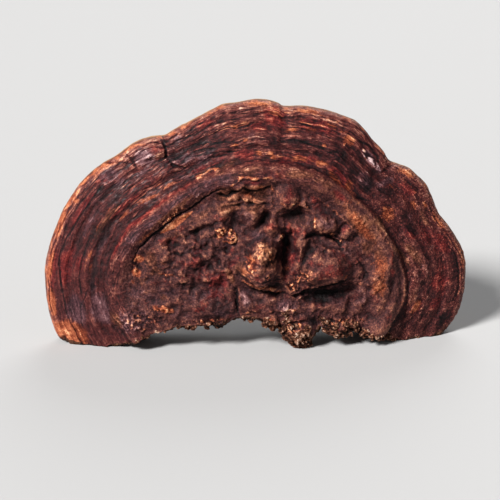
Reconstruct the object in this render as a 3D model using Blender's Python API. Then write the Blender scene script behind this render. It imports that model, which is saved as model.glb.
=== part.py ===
"""One dried reishi bracket, standing on the flat cut where it was taken from the trunk.

The cap grew as one piece, so it is one closed solid. Its lacquered upper face looks along -Y,
its pore face along +Y, and the torn attachment edge lies along the floor at Z = 0. The outline
is a curve through the rim's and the torn edge's own points. Rings of points go round the rim
from one face to the other, and each face is filled with triangles inside its last ring: over
points in rings where the cap grew in rings, over an even grid elsewhere, and along each cleft.
How far a point of the front stands out is the sum of the dome, the older cap's step and short
lists of the real cap's swellings, hollows, lumps, ridges and clefts.

Lengths are in millimetres until the mesh is made.
"""

import math

import bmesh
import bpy
import numpy as np
from mathutils import Vector, noise
from mathutils.geometry import delaunay_2d_cdt

MM = 0.001

# Driving dimensions.
LIP_Y = 14.0            # where the lip of the rim lies, front to back
LIP_HALF_THICK = 5.5    # half the rim's thickness
LIP_ROUND = 7.0         # how far in from the lip its rounding reaches
CUT_ROUND = 3.0         # the same along the torn edge, which is squarer
DOME = 26.0             # how far the front face stands before the rim plane at the middle
BACK_DOME = 15.0        # how far the pore face swells behind the rim plane
LEAN = 0.035            # backward lean of the cap, a slope
LEAN_FOOT_Z = 50.0      # the height at which the lean has no effect
OLD_CAP_STEP = 5.5      # height of the older cap's edge over the newer growth round it
STEP_WIDTH = 4.0        # how wide the slope down that edge is
ROLL_HEIGHT = 2.2       # how much that edge is rolled up over the cap inside it
ROLL_INSIDE = 6.5       # how far inside the edge the roll is highest
ROLL_WIDTH = 5.0
LOST_AT_FOOT = 0.65     # how much of the step and roll dies away at the left foot
LOST_LEFT_OF = -88.0    # they die away from here to the left over this many millimetres
LOST_OVER_X = 14.0
LOST_BELOW = 76.0       # and from here down over this many
LOST_OVER_Z = 26.0
DIP_INSIDE = 4.0        # how far the older cap's middle lies below that rolled edge
DIP_FROM = 8.0          # the dip starts this far inside the edge and takes this long
DIP_OVER = 12.0
BROAD_TERRACE = 0.7     # height of the few broad terraces of the newer growth, and of the
FINE_TERRACE = 0.35     # many fine ones
WANDER = 1.6            # how far the middle's features are shifted, so that none is a neat oval
WANDER_SIZE = 9.0       # and over what length the shift changes
LUMP_BLEND = 1.5        # how softly a lump's foot runs into what it stands on
TORN_ROUGH = 2.2        # height of the torn roof's unevenness
FLOOR_SNAP = 1.3        # torn tissue lower than this is flat on the floor
GROWTH_CENTRE = (4.0, 52.0)
GRID_CENTRE = (5.0, 57.0)

# Mesh density.
COLUMNS = 168               # points round the outline
RING_ZONES = (0.0, 0.13, 0.26, 0.39, 0.52, 0.65, 0.78, 0.90)
ROLL_ROWS = (-2.5, -6.0, -10.0)     # rings on the older cap's rolled edge, past it
RING_SPACING = 5.0
MIDDLE_SPACING = 2.95
MIDDLE_FROM = -12.5         # the even grid of the middle starts this far inside the old edge
BACK_SPACING = 9.5
CLEAR_OF_EDGE = 1.8         # grid points keep this far from the outline
EDGE_ROWS = (-0.88, -0.5, 0.0, 0.5, 0.88)     # rings over the edge, as shares of its half depth
CREASE_SPACING = 3.0        # points along a cleft, so that it isn't cut across by triangles
CLEAR_OF_CREASE = 2.4
UNWANDER_STEPS = 5          # rounds of working back from a wandered place to the plain one
CREASE_HALF_WIDTH = 3.9     # no cleft or ridge is narrower than this in the solid

# The rim from the left foot over the top to the right foot: X, Z of its outermost line.
RIM = (
    (-147.5, 7), (-151.5, 20), (-153.5, 38), (-153, 56), (-149.5, 71), (-144, 85),
    (-137.5, 99), (-124, 118), (-112, 128.5), (-98.5, 136.5), (-87, 144.5), (-76, 148.5),
    (-66, 149.5), (-59, 153.4), (-48, 159), (-36.5, 165), (-25, 170.6), (-14, 172),
    (-3, 174), (5, 173.6), (14, 171.4), (18.5, 169), (31, 169), (48, 166),
    (65, 160.3), (71.5, 156.5), (77, 150.5), (83, 143), (89.5, 136.5), (94, 129.5),
    (101, 126.5), (108.5, 123.5), (115, 118), (121.5, 111.5), (126, 103), (130, 94),
    (133, 88), (139, 81), (144.5, 73), (149.5, 64), (152.7, 54), (153.5, 43),
    (153, 32), (151, 22), (148.5, 14.5), (144, 7.5),
)

# The torn edge from the right foot back to the left one: X, Z at the front, Z at the back.
TORN_EDGE = (
    (137, 2, 2), (130, 0, 0), (116, 0, 0), (101, 0, 0), (92, 3.5, 3), (84, 6.5, 6),
    (74, 8, 9), (67, 13, 13), (60, 8.5, 12), (50, 9, 13), (44, 15.5, 16), (39.5, 9, 15),
    (36, 3, 12), (30, 0, 12), (24, 3, 13), (19, 9, 15), (14, 17, 17), (7, 16, 18),
    (1, 20, 19), (-8, 23, 20), (-19, 22.5, 19), (-28, 18.5, 16), (-42, 18, 15),
    (-58, 17.5, 13), (-74, 13, 9), (-87, 8.5, 5), (-97, 3, 0), (-112, 0, 0), (-126, 0, 0),
    (-134, 0.5, 0.5), (-142, 2.5, 2.5),
)

# Where the growth rings would close below the cut, so that they run down into both feet.
RINGS_BELOW = ((134, -22), (98, -50), (0, -66), (-92, -50), (-131, -22))

# The older cap's edge, all round, closed below the cut in the same way.
OLD_CAP_EDGE = (
    (-105, 30), (-108, 41), (-108, 55), (-103, 71), (-94, 87), (-83, 96.5), (-70, 107),
    (-57, 116), (-43, 123.5), (-24, 130), (1, 134), (26, 131), (45, 124), (64, 111),
    (83, 93), (96, 73), (102, 59), (105, 47), (104, 31), (96, 17), (72, -12), (0, -28),
    (-72, -12), (-98, 15),
)

# Broad swellings, which fade out at their foot: X, Z, half-width, half-height, turn, height.
SWELLINGS = (
    (-2, 64, 22, 26, 0, 5.0), (-20, 66, 12, 15, 0, 2.0), (-6, 122, 22, 8, 5, 3.0),
    (-60, 62, 28, 24, 20, 2.5), (-66, 38, 32, 16, 8, 2.0), (-30, 98, 24, 14, 20, 2.5),
    (-118, 24, 20, 24, 0, 1.2), (-74, 140, 12, 7, 15, 2.6), (62, 94, 20, 13, -40, 2.0),
    (48, 64, 25, 19, -8, 6.0), (84, 50, 12, 21, 4, 6.0), (84, 30, 10, 10, 0, 3.5),
    (28, 77, 9, 20, -10, 4.5), (-6, 99, 8, 8, 0, 3.5), (7.5, 90.5, 6.5, 9, -10, 5.0),
    (-14, 118, 7, 5.5, 0, 3.0), (-3, 118, 7, 5.5, 0, 3.2), (-19, 111.5, 6, 3.6, 0, 2.6),
    (-10, 111.5, 5, 3.6, 0, 2.6), (-2, 108.5, 7, 4, -10, 3.0), (13.7, 81.5, 4.5, 5, 0, 4.5),
    (34, 55, 10, 10, 0, 4.0), (36, 70, 8, 9, 20, 2.5), (-35, 55, 11, 8, 0, 3.6),
    (-49, 67, 9, 7, 20, 3.6), (-36, 72, 8, 6, -10, 3.6), (-56, 56, 9, 7, 0, 3.0),
    (-45, 80, 9, 6, 20, 3.0), (-27, 62, 7, 6, 0, 2.6), (-66, 72, 8, 7, 30, 2.4),
    (-9, 35, 10, 9, 0, 3.2), (4, 34, 8, 8, 0, 2.4), (18, 32, 11, 7, 0, 3.4),
    (49, 32, 18, 9, 0, 2.6), (-36, 34, 20, 11, 0, 3.0), (62, 72, 9, 7, -30, 2.0),
    (30, 105, 6, 5, -30, 2.6), (60, 84, 7, 8, -30, 2.5), (-26, 99, 8, 6, 20, 2.2),
)

# Broad hollows between the lumps: X, Z, half-width, half-height, turn, depth.
HOLLOWS = (
    (18.5, 75, 8.5, 21, -8, 10.0), (22, 97, 15, 8, 0, 6.5), (1, 95, 4.6, 9, -32, 4.2),
    (-6, 88.5, 8, 4, 25, 2.8), (48, 40.5, 24, 8, 14, 8.0), (66, 40, 8, 15, -10, 3.5),
    (99, 46, 9, 32, 2, 4.0), (-16, 98, 5, 4, 0, 2.0), (48, 79, 15, 6, -8, 3.4),
    (31, 71, 4.5, 11, -30, 2.0), (-14, 92, 11, 6, 20, 2.5), (2, 42.5, 19, 4, -6, 3.0),
    (-62, 80, 10, 5, 40, 2.5), (-42, 88, 14, 5, 25, 3.0),
    (34, 20, 20, 5, 0, 2.5), (-20, 104, 12, 3, 5, 1.6), (-62, 32, 5, 6, -40, 2.0),
    (58, 88, 4, 10, -40, 1.6), (-26, 76, 7, 5, 0, 2.4),
)

# Lumps that meet one another in creases: X, Z, half-width, half-height, turn, height.
LUMPS = (
    (0.5, 73, 10.5, 10.5, 0, 11.5), (0, 61, 14, 14, 0, 9.5), (17, 111.5, 9.5, 9, 0, 5.5),
    (45, 91.5, 9, 7.5, 0, 6.5), (46, 60, 19, 14, -8, 5.0), (7, 23, 5, 5, 0, 4.0),
    (29, 15, 12, 12, 0, 4.6), (54, 14, 9, 6, 0, 2.8), (84, 14, 11, 7, 0, 2.4),
    (-28, 89, 5, 4.5, 0, 3.2), (-21, 84, 4.5, 5.5, 0, 2.6),
)

# Raised lines: half-width, height, the line. The first is the thin broken ledge.
RIDGES = (
    (1.1, 1.6, ((-20, 120), (-15, 125), (-7, 126.5), (1, 125.5), (6.5, 125))),
    (1.2, 1.3, ((38, 95), (38, 88), (42, 86), (48, 86), (52, 82), (59, 76))),
    (8.0, 2.4, ((101, 86), (111, 67), (115, 48), (113, 30), (106, 12))),
    (1.5, 1.0, ((-17, 61), (-12, 51), (-3, 47), (8, 46), (15, 46.5))),
    (1.6, 1.2, ((-75, 34), (-68, 33), (-62, 29))),
)

# Clefts: half-width, depth, how much wider the side left of the line's run is than the other,
# and the line. The first is the crack inside the older cap's edge. The last three run in from
# the rim.
CLEFTS = (
    (1.9, 2.4, 0.8, ((-24, 117), (-31, 115.5), (-40, 111), (-48.5, 104), (-58, 98.5), (-68.5, 91),
                     (-77, 83.5), (-86, 73), (-91, 66))),
    (1.5, 1.8, 1.2, ((-30, 113), (-22, 112.5), (-15, 116), (-11, 118.5), (-7, 116), (0, 117),
                     (6, 119))),
    (3.6, 4.2, 0.8, ((20, 41), (31, 43), (42, 45), (52, 47.5), (61, 53))),
    (1.4, 1.2, 1.2, ((-16, 46.5), (-6, 45), (2, 43), (14, 42))),
    (2.2, 2.0, 1.2, ((28, 82), (40, 83), (50, 80.5), (56, 76))),
    (1.8, 1.2, 1.2, ((27, 62), (33, 72), (38, 75.5))),
    (1.3, 1.3, 1.0, ((-17, 42), (-17.6, 36), (-16.2, 28))),
    (1.2, 2.8, 1.0, ((-65, 151), (-66, 143), (-66, 137), (-60, 131), (-50, 130))),
    (1.0, 1.8, 1.0, ((-92, 142), (-89, 134), (-85, 128))),
    (2.8, 2.6, 1.0, ((97, 131), (90, 124), (83, 119))),
)


def closed_curve(points, steps):
    """A smooth closed curve through the points, with a number of steps from each to the next."""
    points = np.array(points, float)
    before = np.roll(points, 1, axis=0)
    after = np.roll(points, -1, axis=0)
    beyond = np.roll(points, -2, axis=0)
    curve = []
    for step in range(steps):
        t = step / steps
        curve.append(0.5 * (2 * points + (after - before) * t
                            + (2 * before - 5 * points + 4 * after - beyond) * t ** 2
                            + (3 * points - before - 3 * after + beyond) * t ** 3))
    return np.stack(curve, axis=1).reshape(-1, points.shape[1])


def even_points(curve, count):
    """The closed curve at equal spacing along its first two coordinates."""
    closed = np.vstack([curve, curve[:1]])
    length = np.hypot(*np.diff(closed[:, :2], axis=0).T)
    along = np.concatenate([[0.0], np.cumsum(length)])
    places = np.linspace(0.0, along[-1], count, endpoint=False)
    return np.column_stack([np.interp(places, along, column) for column in closed.T])


def radius_by_angle(points):
    """A function that gives the closed outline's distance from the growth centre by angle."""
    curve = closed_curve(points, 12) - GROWTH_CENTRE
    angle = np.arctan2(curve[:, 1], curve[:, 0])
    order = np.argsort(angle)
    radius = np.hypot(curve[:, 0], curve[:, 1])
    return lambda a: np.interp(a, angle[order], radius[order], period=2 * math.pi)


RIM_RADIUS = radius_by_angle(RIM + RINGS_BELOW)
OLD_CAP_RADIUS = radius_by_angle(OLD_CAP_EDGE)


def smooth(value):
    """Ease from 0 to 1, held outside that range."""
    value = np.clip(value, 0.0, 1.0)
    return value * value * (3 - 2 * value)


def growth(x, z):
    """Place among the rings: share of the way to the rim, the same past the older cap's edge
    only, and millimetres past that edge."""
    angle = np.arctan2(z - GROWTH_CENTRE[1], x - GROWTH_CENTRE[0])
    reach = np.hypot(x - GROWTH_CENTRE[0], z - GROWTH_CENTRE[1])
    rim = RIM_RADIUS(angle)
    old = OLD_CAP_RADIUS(angle)
    return reach / rim, (reach - old) / (rim - old), reach - old


def rough(x, plane, z, size):
    """Fixed unevenness, about -1 to 1, with features of about the given size."""
    places = zip((x / size).tolist(), (plane / size + np.zeros(len(x))).tolist(), (z / size).tolist())
    return np.array([noise.noise(place) for place in places])


def oval(x, z, row):
    """Distance from an oval's middle as a share of its own half-widths."""
    cx, cz, half_width, half_height, turn = row[:5]
    c, s = math.cos(math.radians(turn)), math.sin(math.radians(turn))
    return np.hypot(((x - cx) * c + (z - cz) * s) / half_width, ((z - cz) * c - (x - cx) * s) / half_height)


def place_on_line(x, z, line):
    """Distance to an open line of straight runs, share of the way along it, and its left side."""
    runs = np.diff(np.array(line, float), axis=0)
    lengths = np.hypot(*runs.T)
    starts = np.concatenate([[0.0], np.cumsum(lengths)])
    best = np.full(x.shape, np.inf)
    share = np.zeros(x.shape)
    left = np.zeros(x.shape, bool)
    for (ax, az), run, length, start in zip(line, runs, lengths, starts):
        part = np.clip(((x - ax) * run[0] + (z - az) * run[1]) / length ** 2, 0.0, 1.0)
        gap = np.hypot(x - ax - part * run[0], z - az - part * run[1])
        nearer = gap < best
        best = np.where(nearer, gap, best)
        share = np.where(nearer, (start + part * length) / starts[-1], share)
        left = np.where(nearer, run[0] * (z - az) - run[1] * (x - ax) > 0, left)
    return best, share, left


def line_relief(x, z, half_width, height, lopsided, line):
    """How much one line raises or sinks each point, fading out at the line's two ends."""
    gap, share, left = place_on_line(x, z, line)
    taper = np.clip(5 * share * (1 - share), 0.05, 1.0) ** 0.5
    width = max(half_width, CREASE_HALF_WIDTH) * taper * np.where(left, lopsided, 1.0)
    return height * taper * np.clip(1 - (gap / width) ** 2, 0.0, 1.0) ** 1.3


def wander(x, z):
    """The place shifted a little, so that no feature is a neat oval or a straight run."""
    return x + WANDER * rough(x, 31.0, z, WANDER_SIZE), z + WANDER * rough(x, 57.0, z, WANDER_SIZE)


def front_y(x, z):
    """The lacquered face, front to back, at each X, Z."""
    share, zone, past_old_edge = growth(x, z)
    dome = DOME * (1 - np.clip(share, 0, 1) ** 2.4) ** 0.9
    step = OLD_CAP_STEP * smooth(0.5 - past_old_edge / STEP_WIDTH)
    step += ROLL_HEIGHT * np.exp(-((past_old_edge + ROLL_INSIDE) / ROLL_WIDTH) ** 2)
    at_foot = smooth((LOST_LEFT_OF - x) / LOST_OVER_X) * smooth((LOST_BELOW - z) / LOST_OVER_Z)
    step *= 1 - LOST_AT_FOOT * at_foot
    dip = DIP_INSIDE * smooth((-past_old_edge - DIP_FROM) / DIP_OVER)
    in_zone = smooth(zone * 6) * smooth((1 - zone) * 5)
    terraces = BROAD_TERRACE * np.cos(zone * 5.0 * math.pi)
    terraces += FINE_TERRACE * np.cos(zone * 11.0 * math.pi + 1.0)
    uneven = 1.1 * rough(x, 7.3, z, 26.0) + 1.2 * rough(x, 0.0, z, 11.0) * smooth(1.4 - share)
    proud = dome + step - dip + in_zone * terraces + uneven

    x, z = wander(x, z)
    for row in SWELLINGS:
        proud += row[5] * np.clip(1 - oval(x, z, row) ** 2, 0.0, 1.0) ** 2
    for row in HOLLOWS:
        proud -= row[5] * np.clip(1 - oval(x, z, row) ** 2, 0.0, 1.0) ** 1.5
    lump = np.zeros(x.shape)
    for row in LUMPS:
        rise = row[5] * (1 - oval(x, z, row) ** 2.4)
        lump = 0.5 * (lump + rise + np.sqrt((lump - rise) ** 2 + LUMP_BLEND))
    raised = [line_relief(x, z, half_width, height, 1.0, line) for half_width, height, line in RIDGES]
    sunk = [line_relief(x, z, *row) for row in CLEFTS]
    proud += lump + np.max(raised, axis=0) - np.max(sunk, axis=0)
    return LIP_Y - LIP_HALF_THICK - proud + LEAN * (z - LEAN_FOOT_Z)


def back_y(x, z):
    """The pore face, front to back, at each X, Z."""
    share, _, _ = growth(x, z)
    dome = BACK_DOME * (1 - np.clip(share, 0, 1) ** 2.0) ** 0.8
    uneven = 1.2 * rough(x, 400.0, z, 34.0) + 0.6 * rough(x, 400.0, z, 13.0)
    return LIP_Y + LIP_HALF_THICK + dome + uneven + LEAN * (z - LEAN_FOOT_Z)


def edge_rings():
    """Rings of points from the front face over the lip or the torn edge to the pore face."""
    points = [(x, z, z, 0.0) for x, z in RIM] + [(x, front, back, 1.0) for x, front, back in TORN_EDGE]
    line = even_points(closed_curve(points, 10), COLUMNS)
    torn = np.clip(line[:, 3], 0.0, 1.0)
    lip_round = LIP_ROUND + (CUT_ROUND - LIP_ROUND) * torn
    squareness = 2.0 + 4.0 * torn

    def inset(z_column):
        place = line[:, (0, z_column)]
        inward = GRID_CENTRE - place
        inward /= np.linalg.norm(inward, axis=1)[:, None]
        return place, inward, place + inward * lip_round[:, None]

    front_place, front_inward, front_start = inset(1)
    back_place, back_inward, back_start = inset(2)
    front_lip = front_y(*front_start.T)
    back_lip = back_y(*back_start.T)
    half = (back_lip - front_lip) / 2

    rings = [np.column_stack([front_start[:, 0], front_lip, front_start[:, 1]])]
    for share in EDGE_ROWS:
        inset_by = lip_round * (1 - (1 - abs(share) ** squareness) ** (1 / squareness))
        to_back = smooth(0.5 + 0.9 * share)
        place = front_place + (back_place - front_place) * to_back
        inward = front_inward + (back_inward - front_inward) * to_back
        at = place + inward * inset_by[:, None]
        depth = (front_lip + back_lip) / 2 + half * share
        roof = torn * smooth((at[:, 1] - 3.0) / 4.0)
        at[:, 1] += TORN_ROUGH * roof * rough(at[:, 0], 0.0, depth, 7.0)
        rings.append(np.column_stack([at[:, 0], depth, at[:, 1]]))
    rings.append(np.column_stack([back_start[:, 0], back_lip, back_start[:, 1]]))
    for ring in rings:
        ring[:, 2] = np.where(ring[:, 2] < FLOOR_SNAP, 0.0, ring[:, 2])
    return rings


def inside(points, loop):
    """The points that lie inside the loop and clear of it."""
    start, end = loop, np.roll(loop, -1, axis=0)
    x, z = points[:, :1], points[:, 1:]
    crosses = (start[:, 1] > z) != (end[:, 1] > z)
    rise = np.where(end[:, 1] == start[:, 1], 1.0, end[:, 1] - start[:, 1])
    crossing_x = start[:, 0] + (z - start[:, 1]) * (end[:, 0] - start[:, 0]) / rise
    within = (crosses & (x < crossing_x)).sum(axis=1) % 2 == 1
    gap, _, _ = place_on_line(*points.T, np.vstack([loop, loop[:1]]))
    return points[within & (gap > CLEAR_OF_EDGE)]


def even_grid(spacing):
    """Points in even rows, every other row shifted by half a step, over the whole outline."""
    columns = np.arange(-160.0, 160.0, spacing)
    rows = np.arange(0.0, 180.0, spacing * math.sqrt(3) / 2)
    x, z = np.meshgrid(columns, rows)
    x = x + (np.arange(len(rows)) % 2)[:, None] * spacing / 2
    return np.column_stack([x.ravel(), z.ravel()])


def crease_points(line):
    """Points at even spacing along the bottom of a cleft, where the wandering puts it."""
    line = np.array(line, float)
    along = np.concatenate([[0.0], np.cumsum(np.hypot(*np.diff(line, axis=0).T))])
    places = np.linspace(0.0, along[-1], round(along[-1] / CREASE_SPACING) + 1)
    bottom = np.column_stack([np.interp(places, along, axis) for axis in line.T])
    points = bottom
    for _ in range(UNWANDER_STEPS):
        points = points + bottom - np.column_stack(wander(*points.T))
    return points


def front_points():
    """Points of the front face: rings where the cap grew in rings, an even grid in the middle."""
    ring_angles = np.radians(np.arange(-60.0, 240.0, 0.5))
    direction = np.column_stack([np.cos(ring_angles), np.sin(ring_angles)])
    old, rim = OLD_CAP_RADIUS(ring_angles), RIM_RADIUS(ring_angles)
    reaches = [old + past for past in ROLL_ROWS] + [old + (rim - old) * zone for zone in RING_ZONES]
    points = []
    for row, reach in enumerate(reaches):
        curve = GROWTH_CENTRE + direction * reach[:, None]
        along = np.concatenate([[0.0], np.cumsum(np.hypot(*np.diff(curve, axis=0).T))])
        places = np.arange((row % 2) * RING_SPACING / 2, along[-1], RING_SPACING)
        points.append(np.column_stack([np.interp(places, along, axis) for axis in curve.T]))
    grid = even_grid(MIDDLE_SPACING)
    points.append(grid[growth(*grid.T)[2] < MIDDLE_FROM])
    points = np.vstack(points)
    for *_, line in CLEFTS:
        creases = crease_points(line)
        points = points[place_on_line(*points.T, creases)[0] > CLEAR_OF_CREASE]
        points = np.vstack([points, creases])
    return points


def add_face(mesh, ring, points, surface):
    """Fill a ring with triangles over the given points, lifted onto the surface."""
    loop = np.array([(vertex.co.x, vertex.co.z) for vertex in ring]) / MM
    points = inside(points, loop)
    flat = [Vector(point) for point in np.vstack([loop, points])]
    edges = [(i, (i + 1) % len(ring)) for i in range(len(ring))]
    _, _, triangles, *_ = delaunay_2d_cdt(flat, edges, [], 1, 1e-6)
    depth = surface(*points.T)
    vertices = list(ring)
    for (x, z), y in zip(points, depth):
        vertices.append(mesh.verts.new((x * MM, y * MM, z * MM)))
    for triangle in triangles:
        mesh.faces.new([vertices[i] for i in triangle])


def cap_mesh():
    """The closed skin of the cap."""
    mesh = bmesh.new()
    rings = [[mesh.verts.new(point * MM) for point in ring] for ring in edge_rings()]
    for ring, next_ring in zip(rings, rings[1:]):
        for i in range(COLUMNS):
            j = (i + 1) % COLUMNS
            mesh.faces.new((ring[i], ring[j], next_ring[j]))
            mesh.faces.new((ring[i], next_ring[j], next_ring[i]))
    add_face(mesh, rings[0], front_points(), front_y)
    add_face(mesh, rings[-1], even_grid(BACK_SPACING), back_y)
    bmesh.ops.recalc_face_normals(mesh, faces=mesh.faces)
    for face in mesh.faces:
        face.smooth = True
    data = bpy.data.meshes.new("cap")
    mesh.to_mesh(data)
    mesh.free()
    return data


def lacquer_material():
    """Dark mahogany-red lacquer of a dried reishi."""
    material = bpy.data.materials.new("reishi_lacquer")
    material.use_nodes = True
    shader = material.node_tree.nodes["Principled BSDF"]
    shader.inputs["Base Color"].default_value = (0.10, 0.028, 0.022, 1.0)
    shader.inputs["Roughness"].default_value = 0.42
    shader.inputs["Metallic"].default_value = 0.0
    return material


for old in list(bpy.data.objects):
    bpy.data.objects.remove(old, do_unlink=True)

cap = bpy.data.objects.new("cap", cap_mesh())
cap.data.materials.append(lacquer_material())
bpy.context.scene.collection.objects.link(cap)
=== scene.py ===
import math
import random

import bmesh
import bpy
import numpy as np
from mathutils import Euler, Matrix, Vector, noise
from mathutils.geometry import delaunay_2d_cdt


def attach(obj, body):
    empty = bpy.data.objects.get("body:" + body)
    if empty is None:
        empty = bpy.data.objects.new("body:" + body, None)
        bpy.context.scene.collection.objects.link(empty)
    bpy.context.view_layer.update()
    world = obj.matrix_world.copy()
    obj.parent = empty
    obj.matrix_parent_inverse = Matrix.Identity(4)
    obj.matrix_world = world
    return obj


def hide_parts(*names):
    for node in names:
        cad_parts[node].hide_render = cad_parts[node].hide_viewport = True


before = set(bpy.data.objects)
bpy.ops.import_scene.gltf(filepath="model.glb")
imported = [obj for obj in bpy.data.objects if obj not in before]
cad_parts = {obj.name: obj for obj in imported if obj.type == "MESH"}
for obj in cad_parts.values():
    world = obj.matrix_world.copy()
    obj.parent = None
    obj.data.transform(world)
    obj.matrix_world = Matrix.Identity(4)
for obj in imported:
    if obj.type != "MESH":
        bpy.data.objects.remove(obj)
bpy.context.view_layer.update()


# ---------------------------------------------------------------------------------------------
# The view. The cap stands upright on its cut edge and is seen from a little above and a little
# to its left, through a long lens, on a plain pale floor under soft studio light.

LENS = 85.0                     # mm, on a 36 mm sensor
CAMERA_BACK = 0.805             # metres from the cap, along the floor
CAMERA_UP = 0.311
CAMERA_PITCH = math.radians(16.7)
CAMERA_TURN = math.radians(-4.0)
CAP_MIDDLE = (-0.0067, -0.0010)  # the point of the floor that the camera is turned about
FLOOR_GREY = 0.45
FLOOR_SIZE = 12.0               # metres, so that its edge is out of view
SKY = (0.95, 0.97, 1.0, 1.0)
SKY_STRENGTH = 0.15

camera_at = (CAP_MIDDLE[0] + math.sin(CAMERA_TURN) * CAMERA_BACK,
             CAP_MIDDLE[1] - math.cos(CAMERA_TURN) * CAMERA_BACK, CAMERA_UP)
bpy.ops.object.camera_add(location=camera_at, rotation=(math.pi / 2 - CAMERA_PITCH, 0, CAMERA_TURN))
camera = bpy.context.object
camera.data.lens = LENS
camera.data.clip_start = 0.01
bpy.context.scene.camera = camera
bpy.context.scene.view_settings.view_transform = "Standard"

# Big distant softboxes, which light the floor evenly: a key from above and the left, a weak
# fill from the right and one from behind. Each row: name, place, strength, spread, colour.
SOFTBOXES = (
    ("key", (-0.72, -0.66, 0.74), 6.7, 15.0, (1.0, 0.985, 0.97)),
    ("fill", (1.00, -0.60, 0.55), 0.15, 50.0, (0.95, 0.97, 1.0)),
    ("behind", (0.30, 1.00, 0.80), 1.30, 40.0, (1.0, 1.0, 1.0)),
)
for name, place, strength, spread, colour in SOFTBOXES:
    turn = Vector(place).to_track_quat("Z", "Y").to_euler()
    bpy.ops.object.light_add(type="SUN", location=place, rotation=turn)
    light = bpy.context.object
    light.name = name
    light.data.energy = strength
    light.data.angle = math.radians(spread)
    light.data.color = colour

world = bpy.data.worlds.new("studio")
world.use_nodes = True
world.node_tree.nodes["Background"].inputs["Color"].default_value = SKY
world.node_tree.nodes["Background"].inputs["Strength"].default_value = SKY_STRENGTH
bpy.context.scene.world = world

bpy.ops.mesh.primitive_plane_add(size=FLOOR_SIZE, location=(0, 0, 0))
floor = bpy.context.object
floor.name = "floor"
floor_finish = bpy.data.materials.new("pale_floor")
floor_finish.use_nodes = True
floor_shader = floor_finish.node_tree.nodes["Principled BSDF"]
floor_shader.inputs["Base Color"].default_value = (FLOOR_GREY, FLOOR_GREY, FLOOR_GREY, 1.0)
floor_shader.inputs["Roughness"].default_value = 0.9
floor.data.materials.append(floor_finish)


# ---------------------------------------------------------------------------------------------
# The cap. A bracket fungus grows as one piece: an older cap in the middle, rolled at its edge,
# and newer growth round it in rings. Its upper face is a hard natural lacquer, its back is a
# fine pore face, and the attachment edge below is torn, corky tissue. The skin is worked out
# point by point, because relief that grew has no straight runs, arcs or flat faces to extrude.

MM = 0.001
# Millimetres, as all lengths of the cap's shape are.
LIP_Y = 14.0                # the rim's middle, front to back
LIP_HALF_THICK = 5.5
LIP_ROUND = 7.0             # how far in the rim is rounded
CUT_ROUND = 3.0             # the same at the torn edge
DOME = 26.0                 # how far the front stands out in the middle
BACK_DOME = 15.0
LEAN = 0.035                # backwards, per millimetre of height
LEAN_FOOT_Z = 50.0
OLD_CAP_STEP = 5.5          # how far the older cap stands out from the rings
ROLL_HEIGHT = 2.2           # what the rolled edge of the older cap adds
LOST_AT_FOOT = 0.65         # how much of that edge dies away at the left foot
TORN_ROUGH = 2.2
FLOOR_SNAP = 1.3            # what hangs lower than this rests on the floor
LUMP_BLEND = 1.5            # how softly a lump's foot runs into what it stands on
GROWTH_CENTRE = (4.0, 52.0)     # X, Z that the rings run round
GRID_CENTRE = (5.0, 57.0)       # X, Z that the edge is rounded towards
ZONE_WIDTH = 41.0           # the usual way from the older cap's edge out to the rim

# Mesh density: points round the outline, the gap between rings and along them, and the gap
# between points in the middle and on the back.
COLUMNS = 1000
RING_GAP = 0.62
RING_SPACING = 1.15
MIDDLE_SPACING = 0.78
BACK_SPACING = 2.4
CLEAR_OF_EDGE = 0.35
EDGE_STEPS = 22
CURVE_STEPS = 12            # from one point of a radius's outline to the next
OUTLINE_STEPS = 10          # the same for the outline that the edge follows
RING_SWEEP = (-62.0, 242.0, 0.25)   # degrees, from below the right foot round to below the left
GRID_REACH = (160.0, 180.0)         # half the width and the height that the grids cover
INSIDE_ONLY = 1             # fill within the loop, as the triangulation numbers its choices
CLOSEST = 1e-6              # points closer than this are one
BATCH = 4000                # points tested at a time, to spare memory

RIM = (
    (-147.5, 7), (-151.5, 20), (-153.5, 38), (-153, 56), (-149.5, 71), (-144, 85),
    (-137.5, 99), (-124, 118), (-112, 128.5), (-98.5, 136.5), (-87, 144.5), (-76, 148.5),
    (-66, 149.5), (-59, 153.4), (-48, 159), (-36.5, 165), (-25, 170.6), (-14, 172),
    (-3, 174), (5, 173.6), (14, 171.4), (18.5, 169), (31, 169), (48, 166),
    (65, 160.3), (71.5, 156.5), (77, 150.5), (83, 143), (89.5, 136.5), (94, 129.5),
    (101, 126.5), (108.5, 123.5), (115, 118), (121.5, 111.5), (126, 103), (130, 94),
    (133, 88), (139, 81), (144.5, 73), (149.5, 64), (152.7, 54), (153.5, 43),
    (153, 32), (151, 22), (148.5, 14.5), (144, 7.5),
)
TORN_EDGE = (
    (137, 2, 2), (130, 0, 0), (116, 0, 0), (101, 0, 0), (92, 3.5, 3), (84, 6.5, 6),
    (74, 8, 9), (67, 13, 13), (60, 8.5, 12), (50, 9, 13), (44, 15.5, 16), (39.5, 9, 15),
    (36, 3, 12), (30, 0, 12), (24, 3, 13), (19, 9, 15), (14, 17, 17), (7, 16, 18),
    (1, 20, 19), (-8, 23, 20), (-19, 22.5, 19), (-28, 18.5, 16), (-42, 18, 15),
    (-58, 17.5, 13), (-74, 13, 9), (-87, 8.5, 5), (-97, 3, 0), (-112, 0, 0), (-126, 0, 0),
    (-134, 0.5, 0.5), (-142, 2.5, 2.5),
)
RINGS_BELOW = ((134, -22), (98, -50), (0, -66), (-92, -50), (-131, -22))
OLD_CAP_EDGE = (
    (-105, 30), (-108, 41), (-108, 55), (-103, 71), (-94, 87), (-83, 96.5), (-70, 107),
    (-57, 116), (-43, 123.5), (-24, 130), (1, 134), (26, 131), (45, 124), (64, 111),
    (83, 93), (96, 73), (102, 59), (105, 47), (104, 31), (96, 17), (72, -12), (0, -28),
    (-72, -12), (-98, 15),
)

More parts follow.
